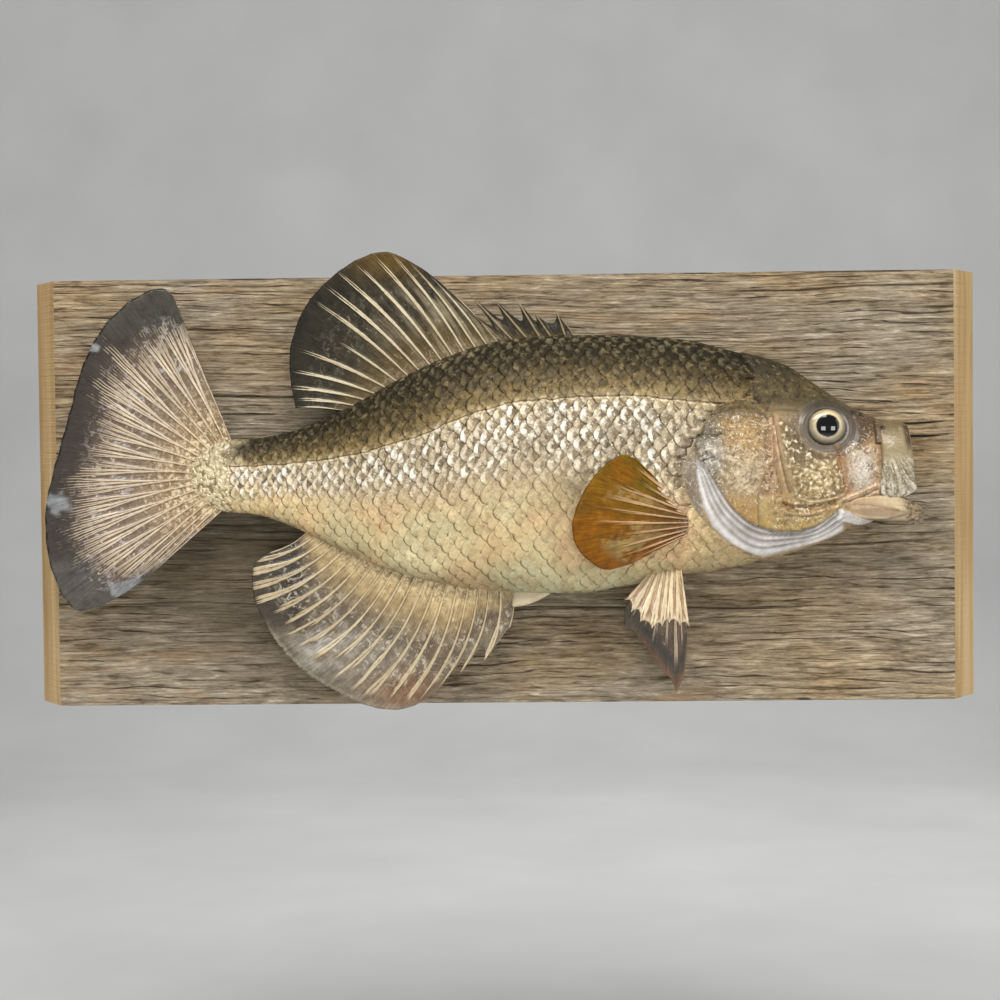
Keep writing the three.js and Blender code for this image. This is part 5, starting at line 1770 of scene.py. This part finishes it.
def amber_tint(u, v, x, z):
    """Amber with olive and pale streaks, darker towards the root."""
    film = stops(u, (0, (110, 88, 8)), (0.3, (116, 82, 2)), (0.6, (117, 75, 1)), (0.85, (112, 68, 6)),
                 (1, (112, 74, 30)))
    streak = slow_noise(u * 46, v * 12, 6, 4.2) + 0.4 * slow_noise(x, z, 2, 6.2)
    film = dab(film, (88, 74, 6), 0.6 * smooth((streak - 0.1) / 0.3) * smooth((0.6 - u) / 0.3))
    pale = smooth((-streak - 0.12) / 0.25) * smooth((0.85 - v) / 0.15)
    film = dab(film, (148, 130, 84), 0.65 * pale)
    film = dab(film, (128, 80, 2), 0.8 * smooth((streak - 0.05) / 0.3) * smooth((v - 0.6) / 0.1))
    return dab(film, (84, 62, 34), smooth((0.5 - v) / 0.36) * 0.85)


def cream_fin_tint(u, v, x, z):
    """Cream at both ends, tan between."""
    return stops(v, (0, (196, 172, 128)), (0.5, (160, 132, 92)), (0.85, (150, 118, 82)), (1, (206, 190, 160)))


def brown_fin_tint(u, v, x, z):
    """Brown in bands, greyer behind."""
    film = stops(v, (0, (176, 160, 132)), (0.4, (112, 92, 72)), (0.72, (88, 72, 56)), (0.82, (52, 50, 42)),
                 (0.92, (84, 64, 44)), (1, (112, 84, 54)))
    return dab(film, (84, 74, 56), smooth((0.35 - u) / 0.2) * smooth((v - 0.3) / 0.2))


PECTORAL_FACTS = {"rays": 12, "seed": 35, "ray_ends": (0.6, 0.86), "splits": [(0.1, 0.75), (0.4, 0.45)],
                  "width": 0.46, "root": 0.8, "fade": 0.3, "thick": (1.7, 0.6), "wave": 1.0, "waves": 7,
                  "dim": 0.4, "sunk": 0.12, "crumbs": (0.12, (150, 132, 116))}
NEAR_FACTS = {"rays": 8, "seed": 36, "ray_ends": (1.0, 1.1), "splits": [(0.2, 0.8)], "width": 0.75,
              "thick": (1.8, 0.8), "spines": 8, "notch": 0.08, "tears": 0.1, "rows": 40}
FAR_FACTS = {"rays": 8, "seed": 37, "ray_ends": (0.74, 0.9), "splits": [(0.15, 0.8), (0.35, 0.4)],
             "width": 0.42, "thick": (1.8, 0.6), "spines": 8, "notch": 0.03, "tears": 0.04, "rows": 56}
pectoral = fin_blade(
    "pectoral_fan",
    (curve_through(PECTORAL_ROOT, even=True), curve_through(PECTORAL_MARGIN, even=True)),
    PECTORAL_FACTS,
    amber_tint,
)
pelvic_near = fin_blade("pelvic_fan_near", spine_fan(PELVIC_NEAR, -49, -57), NEAR_FACTS, cream_fin_tint)
pelvic_far = fin_blade("pelvic_fan_far", spine_fan(PELVIC_FAR, -36, -34), FAR_FACTS, brown_fin_tint)
amber_film = fin_finish("amber_film", PECTORAL_FACTS, (206, 160, 116), 0.03, 0.34, coat=0.04, glint_strength=0.05,
                        shine=0.12)
dress_piece(pectoral, amber_film, "amber_fin", "pectoral_fin")
cream_film = fin_finish("cream_film", NEAR_FACTS, (226, 208, 170), 0.03, 0.35, glint_strength=0.1)
dress_piece(pelvic_near, cream_film, "fin_film", "pelvic_fin_near")
brown_film = fin_finish("brown_film", FAR_FACTS, (198, 176, 148), 0.05, 0.3)
dress_piece(pelvic_far, brown_film, "fin_film", "pelvic_fin_far")

# %% [markdown]
# ## The eyes
# A glass eye is a clear dome over a painted disc. Seen from outside that is a glossy lens with a black
# pupil, a cream iris that greys at its inner and outer edges, and fine streaks running outwards. The
# dome is a sphere pressed flat and cut at its back; a number on each point says how far it lies from
# the eye's axis, and the finish turns that into rings.

# %% Glass eyes
PUPIL_RISE = 0.1


def eye_piece(name, side):
    """Half a ball pressed flat, turned a little forward and set on the head."""
    shape = bmesh.new()
    bmesh.ops.create_uvsphere(shape, u_segments=64, v_segments=48, radius=1)
    bmesh.ops.bisect_plane(
        shape, geom=shape.verts[:] + shape.edges[:] + shape.faces[:], plane_co=(0, 0, -0.001),
        plane_no=(0, 0, -1), clear_outer=True,
    )
    bmesh.ops.holes_fill(shape, edges=[e for e in shape.edges if e.is_boundary], sides=0)
    rings = np.array([math.hypot(vert.co.x, (vert.co.y - PUPIL_RISE) * 0.97) for vert in shape.verts])
    write_layers(shape, {"ring": rings, "height": np.array([vert.co.y / 2 + 0.5 for vert in shape.verts])})
    size = (EYE["radius"] + 0.1, EYE["radius"] - 0.6, EYE["dome"])
    bmesh.ops.scale(shape, verts=shape.verts, vec=size)
    outward = Vector((math.sin(math.radians(EYE["forward"])), side, math.sin(math.radians(EYE["up"]))))
    upright = outward.normalized().to_track_quat("Z", "Y").to_matrix()
    bmesh.ops.rotate(shape, verts=shape.verts, matrix=upright)
    x, z = EYE["x"], EYE["z"]
    middle = (back_at(x) + belly_at(x)) / 2
    height = (z - middle) / (back_at(x) - middle)
    y = centre_at(x) + side * half_at(x) * math.sqrt(1 - height**2) ** TOP_ROUNDING
    bmesh.ops.translate(shape, verts=shape.verts, vec=Vector((x, y, z)) - outward.normalized() * 0.8)
    bmesh.ops.recalc_face_normals(shape, faces=shape.faces)
    piece = mesh_piece(name, shape)
    piece.data.shade_smooth()
    return piece


def glass_eye():
    """Rings of paint under a clear dome, with painted light: lighter towards the top, darker towards the
    foot.
    """
    plain = {"Roughness": 0.4, "Coat Weight": 1.0, "Coat Roughness": 0.02, "Specular IOR Level": 0.05}
    material, tree, shader = new_finish("painted_glass_eye", plain)
    ring = stored(tree, "ring")
    wobble = between(grain(tree, 420, 3), 0.3, 0.7, -0.02, 0.02)
    rings = ramp(plus(ring, wobble), [
        (0.0, colour(2, 2, 3)), (0.56, colour(3, 3, 4)), (0.59, colour(108, 96, 74)),
        (0.63, colour(200, 184, 148)), (0.72, colour(184, 168, 134)), (0.8, colour(152, 140, 114)),
        (0.93, colour(124, 115, 96)), (1.0, colour(86, 80, 68))])
    streaks = ramp(grain(tree, 500, 3), [(0.3, (0.8, 0.8, 0.78)), (0.7, (1.1, 1.1, 1.1))])
    base = blend(0.6, rings, streaks, "MULTIPLY")
    # Painted light: the paint is lightened towards the eye's top and darkened towards its foot.
    light = [(0.1, (0.7, 0.7, 0.72)), (0.6, (1, 1, 1)), (0.9, (1.5, 1.45, 1.35))]
    lit = ramp(stored(tree, "height"), light)
    plug(shader, {"Base Color": blend(1.0, base, lit, "MULTIPLY")})
    return material


eye_glass = glass_eye()
for eye_side, sign in (("near", -1), ("far", 1)):
    dress_piece(eye_piece(f"glass_eye_{eye_side}", sign), eye_glass, "glass_eye", f"eye_{eye_side}")

# %% [markdown]
# ## The jaws
# The mouth is half open and pushed forward, as a crappie's is when it feeds. Round it stand four thin
# pieces: the upper lip over the top, a strap of bone and wrinkled skin down each side, and the lower
# jaw, which is a scoop. Each is a bent sheet with a rounded rim. The straps carry folds that fan down
# from their top corner, and the lower jaw ends in a dark, worn lip.

# %% Jaw sheets
UPPER_JAW = [(150, 27.8, -14, 13.3), (155.2, 27.8, -14, 13.3), (162, 27.2, -14, 13.3), (170, 26, -14, 12.4)]
LOWER_JAW = [(139, -8.2, -12.4, 7.6), (144, -4.0, -12.4, 10.6), (150, -2.6, -12.8, 11.6),
             (157, -2.2, -13.2, 12), (164, -2.8, -14, 11), (169, -5, -15, 8.4), (172.6, -7.2, -15, 5.4),
             (175, -10, -13.6, 1.6)]
upper_at, lower_at = smooth_line(UPPER_JAW), smooth_line(LOWER_JAW)
JAW_HINGE, JAW_LENGTH = 139, 35.7
LIP_SHEET = 1.5


def rounded_rim(u, v, thickness, sharp=14):
    """Half a sheet's thickness, rounded off towards its rim."""
    inward = np.minimum(np.minimum(u, 1 - u), np.minimum(v, 1 - v)) * sharp
    return thickness / 2 * np.sqrt(np.clip(inward, 0, 1))


def strap_sheet(side):
    """A jaw strap: u runs from its rear edge to its front edge, v from its top to its foot."""

    def sheet(u, v):
        z = 26 - 29.8 * v
        rear = 154.6 + 1.2 * np.sin(v * math.pi) + 3.0 * smooth((v - 0.9) / 0.1) ** 2
        rear += smooth((0.08 - v) / 0.08)
        front = 167.6 + 2.2 * v - 4.6 * smooth((v - 0.86) / 0.14) ** 2
        front += 0.9 * pillow(v, v, (0.86, 0.86), (0.09, 0.09))
        x = rear + (front - rear) * u
        top, bottom, half = section_of(upper_at, x)
        lift = np.clip((z - (top + bottom) / 2) / ((top - bottom) / 2), -0.995, 0.995)
        out = half * np.sqrt(1 - lift**2) ** 0.75
        fan = np.arctan2(x - 153, 30 - z)
        folds = 0.26 * np.sin(fan * 38 + 0.8) * smooth((v - 0.3) / 0.3)
        folds = folds + 0.2 * np.sin(fan * 83 + 6 * v) * smooth((v - 0.4) / 0.2)
        folds = folds + 0.14 * np.sin(fan * 151 - 9 * v) * smooth((v - 0.45) / 0.2)
        curl = 0.8 * smooth((u - 0.85) / 0.15) + 0.6 * smooth((0.12 - u) / 0.12)
        return np.column_stack([x, centre_at(x) + side * (out + 0.5 + folds - curl), z])

    return sheet


def strap_dress(u, v):
    """Wrinkled skin that pales towards the foot, brown along the front and dark at the top corner.
    Its wrinkles carry painted shade and painted highlights in alternate stripes.
    """
    wrinkle = smooth((v - 0.4) / 0.25)
    fan = (u * 0.9 + 0.25) / (0.3 + v)
    x_fan = np.sin(fan * 31 + 3 * v) + 0.7 * np.sin(fan * 57 - 5 * v)
    paint = stops(v, (0, (134, 116, 84)), (0.35, (150, 134, 100)), (0.6, (164, 152, 124)),
                  (1, (196, 186, 164)))
    # Painted shade and painted highlights in alternate stripes across the wrinkles.
    paint = dab(paint, (98, 84, 62), 0.6 * wrinkle * smooth(x_fan))
    paint = dab(paint, (228, 222, 204), 0.5 * wrinkle * smooth(-x_fan))
    paint = dab(paint, (84, 60, 38), smooth((u - 0.72) / 0.12) * smooth((0.5 - v) / 0.3))
    paint = dab(paint, (140, 112, 66), smooth((0.2 - u) / 0.2) * smooth((0.55 - v) / 0.3) * 0.8)
    paint = dab(paint, (214, 200, 166), smooth((u - 0.95) / 0.03) * smooth((0.7 - v) / 0.3))
    paint = dab(paint, (36, 26, 20), pillow(u, v, (0.1, 0.06), (0.13, 0.05)))
    return rounded_rim(u, v, LIP_SHEET), {"paint": paint, "foil": 0.25 + 0.6 * wrinkle}


def lip_sheet(u, v):
    """The upper lip: u from the brow forward, v over the top from near to far."""
    x = 153.5 + 13.5 * u
    angle = (v - 0.5) * 2 * 0.98
    top, bottom, half = section_of(upper_at, x)
    y = half * np.sign(angle) * np.abs(np.sin(angle)) ** 0.7
    z = (top + bottom) / 2 + (top - bottom) / 2 * np.cos(angle)
    ripple = 0.2 * np.sin(angle * 16 + x)
    return np.column_stack([x, centre_at(x) + y, z - 0.4 + ripple])


def lip_dress(u, v):
    """Tan, dark at the brow and at the rim."""
    paint = stops(u, (0, (84, 68, 46)), (0.5, (136, 120, 86)), (0.85, (126, 104, 72)), (1, (66, 48, 30)))
    return rounded_rim(u, v, LIP_SHEET), {"paint": paint, "foil": np.full(len(u), 0.3)}


def scoop_sheet(u, v):
    """The lower jaw: u from the jaw's hinge to its tip, v under it from the near rim to the far rim."""
    x = JAW_HINGE + JAW_LENGTH * u
    top, bottom, half = section_of(lower_at, x)
    angle = (v - 0.5) * math.pi * 0.98
    y = half * np.sign(angle) * np.abs(np.sin(angle)) ** 0.62
    sag = np.abs(np.cos(angle)) ** 0.75
    rib = 0.35 * hill(np.abs(angle), 1.12, 0.07) + 0.5 * hill(np.abs(angle), 1.5, 0.08)
    return np.column_stack([x, centre_at(x) + y * (1 + rib / 12), top - (top - bottom) * sag])


JAW_PLATE = [(140.2, -5.6), (145.2, -5.2), (155.3, -6.2), (165.8, -9.6), (158.9, -11.6), (148.8, -10.8)]
# Each line is (points, width, tint, strength): a painted highlight along the leaf's lower part, a brown line
# near its top, and painted shade under the leaf.
JAW_LINES = [
    ([(142, -9.4), (149, -11.2), (159, -11.9)], 0.6, (238, 218, 188), 0.8),
    ([(143, -6.2), (152, -7), (163, -9)], 0.35, (118, 86, 52), 0.6),
    ([(146, -12), (156, -12.6), (166, -10.6)], 0.5, (96, 82, 64), 0.8),
]


def scoop_dress(u, v):
    """Cream bone with a pale leaf along its side, a brown line, a dark, worn tip, and along the leaf a
    painted highlight above and painted shade below.
    """
    spot = scoop_sheet(u, v)
    x, z = spot[:, 0], spot[:, 2]
    streak = slow_noise(x * 2, z * 3, 3.4, 6.1)
    paint = stops(u, (0, (166, 120, 70)), (0.2, (190, 158, 120)), (0.6, (196, 178, 142)),
                  (1, (176, 158, 120)))
    leaf = plate(x, z, JAW_PLATE, 1.0)
    paint = dab(paint, (182, 156, 124), leaf)
    for line, width, tint, strength in JAW_LINES:
        paint = dab(paint, tint, stroke(x, z, line, width) * strength)
    # Painted shade: a grey-brown band below the leaf.
    paint = dab(paint, (112, 98, 80), smooth((-12.2 - z) / 1.2) * (1 - leaf) * 0.85)
    tip = smooth((x - 163.5 + (z + 8) * 0.3) / 3.5)
    paint = dab(paint, (154, 134, 100), tip * 0.9)
    paint = dab(paint, (58, 44, 30), tip * smooth((streak - 0.05) / 0.25) * 0.8)
    return rounded_rim(u, v, LIP_SHEET), {"paint": paint, "foil": 0.15 + 0.55 * tip}


# %% Jaw pieces
jaw_finish = fish_finish("painted_jaw", marked=False)
jaw_pieces = [
    ("jaw_strap_near", 44, 70, strap_sheet(-1), strap_dress, "maxilla_near"),
    ("jaw_strap_far", 44, 70, strap_sheet(1), strap_dress, "maxilla_far"),
    ("upper_lip", 30, 60, lip_sheet, lip_dress, "upper_jaw"),
    ("lower_lip", 70, 80, scoop_sheet, scoop_dress, "lower_jaw"),
]
for name, columns, rows, sheet, dress, node in jaw_pieces:
    dress_piece(blade(name, columns, rows, sheet, dress), jaw_finish, "jaw_membrane", node)

# %% Vent flap
VENT_X, VENT_TOP, VENT_FOOT = (4.6, 19.8), -39, -48.8


def vent_sheet(u, v):
    """A small flap of skin behind the belly fins, shorter towards the head."""
    x = VENT_X[0] + (VENT_X[1] - VENT_X[0]) * u
    foot = VENT_FOOT + 5.5 * u**2
    return np.column_stack([x - 1.2 * v * (1 - u), centre_at(x), VENT_TOP + (foot - VENT_TOP) * v])


def vent_dress(u, v):
    """Cream skin, thicker in the middle."""
    paint = stops(v, (0, (196, 184, 150)), (1, (206, 190, 160)))
    return rounded_rim(u, v, 2.6, 4), {"paint": paint}


vent = blade("vent_flap_skin", 20, 16, vent_sheet, vent_dress)
dress_piece(vent, jaw_finish, "gill_membrane", "vent_flap")

# %% [markdown]
# ## Last measures
# Both boxes, the frame's and the dressed model's, are printed. The dressed model may not
# outgrow its frame.

# %% Sizes and the end
low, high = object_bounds()
sizes = {"cad": [list(cad_low), list(cad_high)], "visual": [list(low), list(high)]}
for name, (small, large) in sizes.items():
    print(name, [round(v / MM, 1) for v in small], [round(v / MM, 1) for v in large])
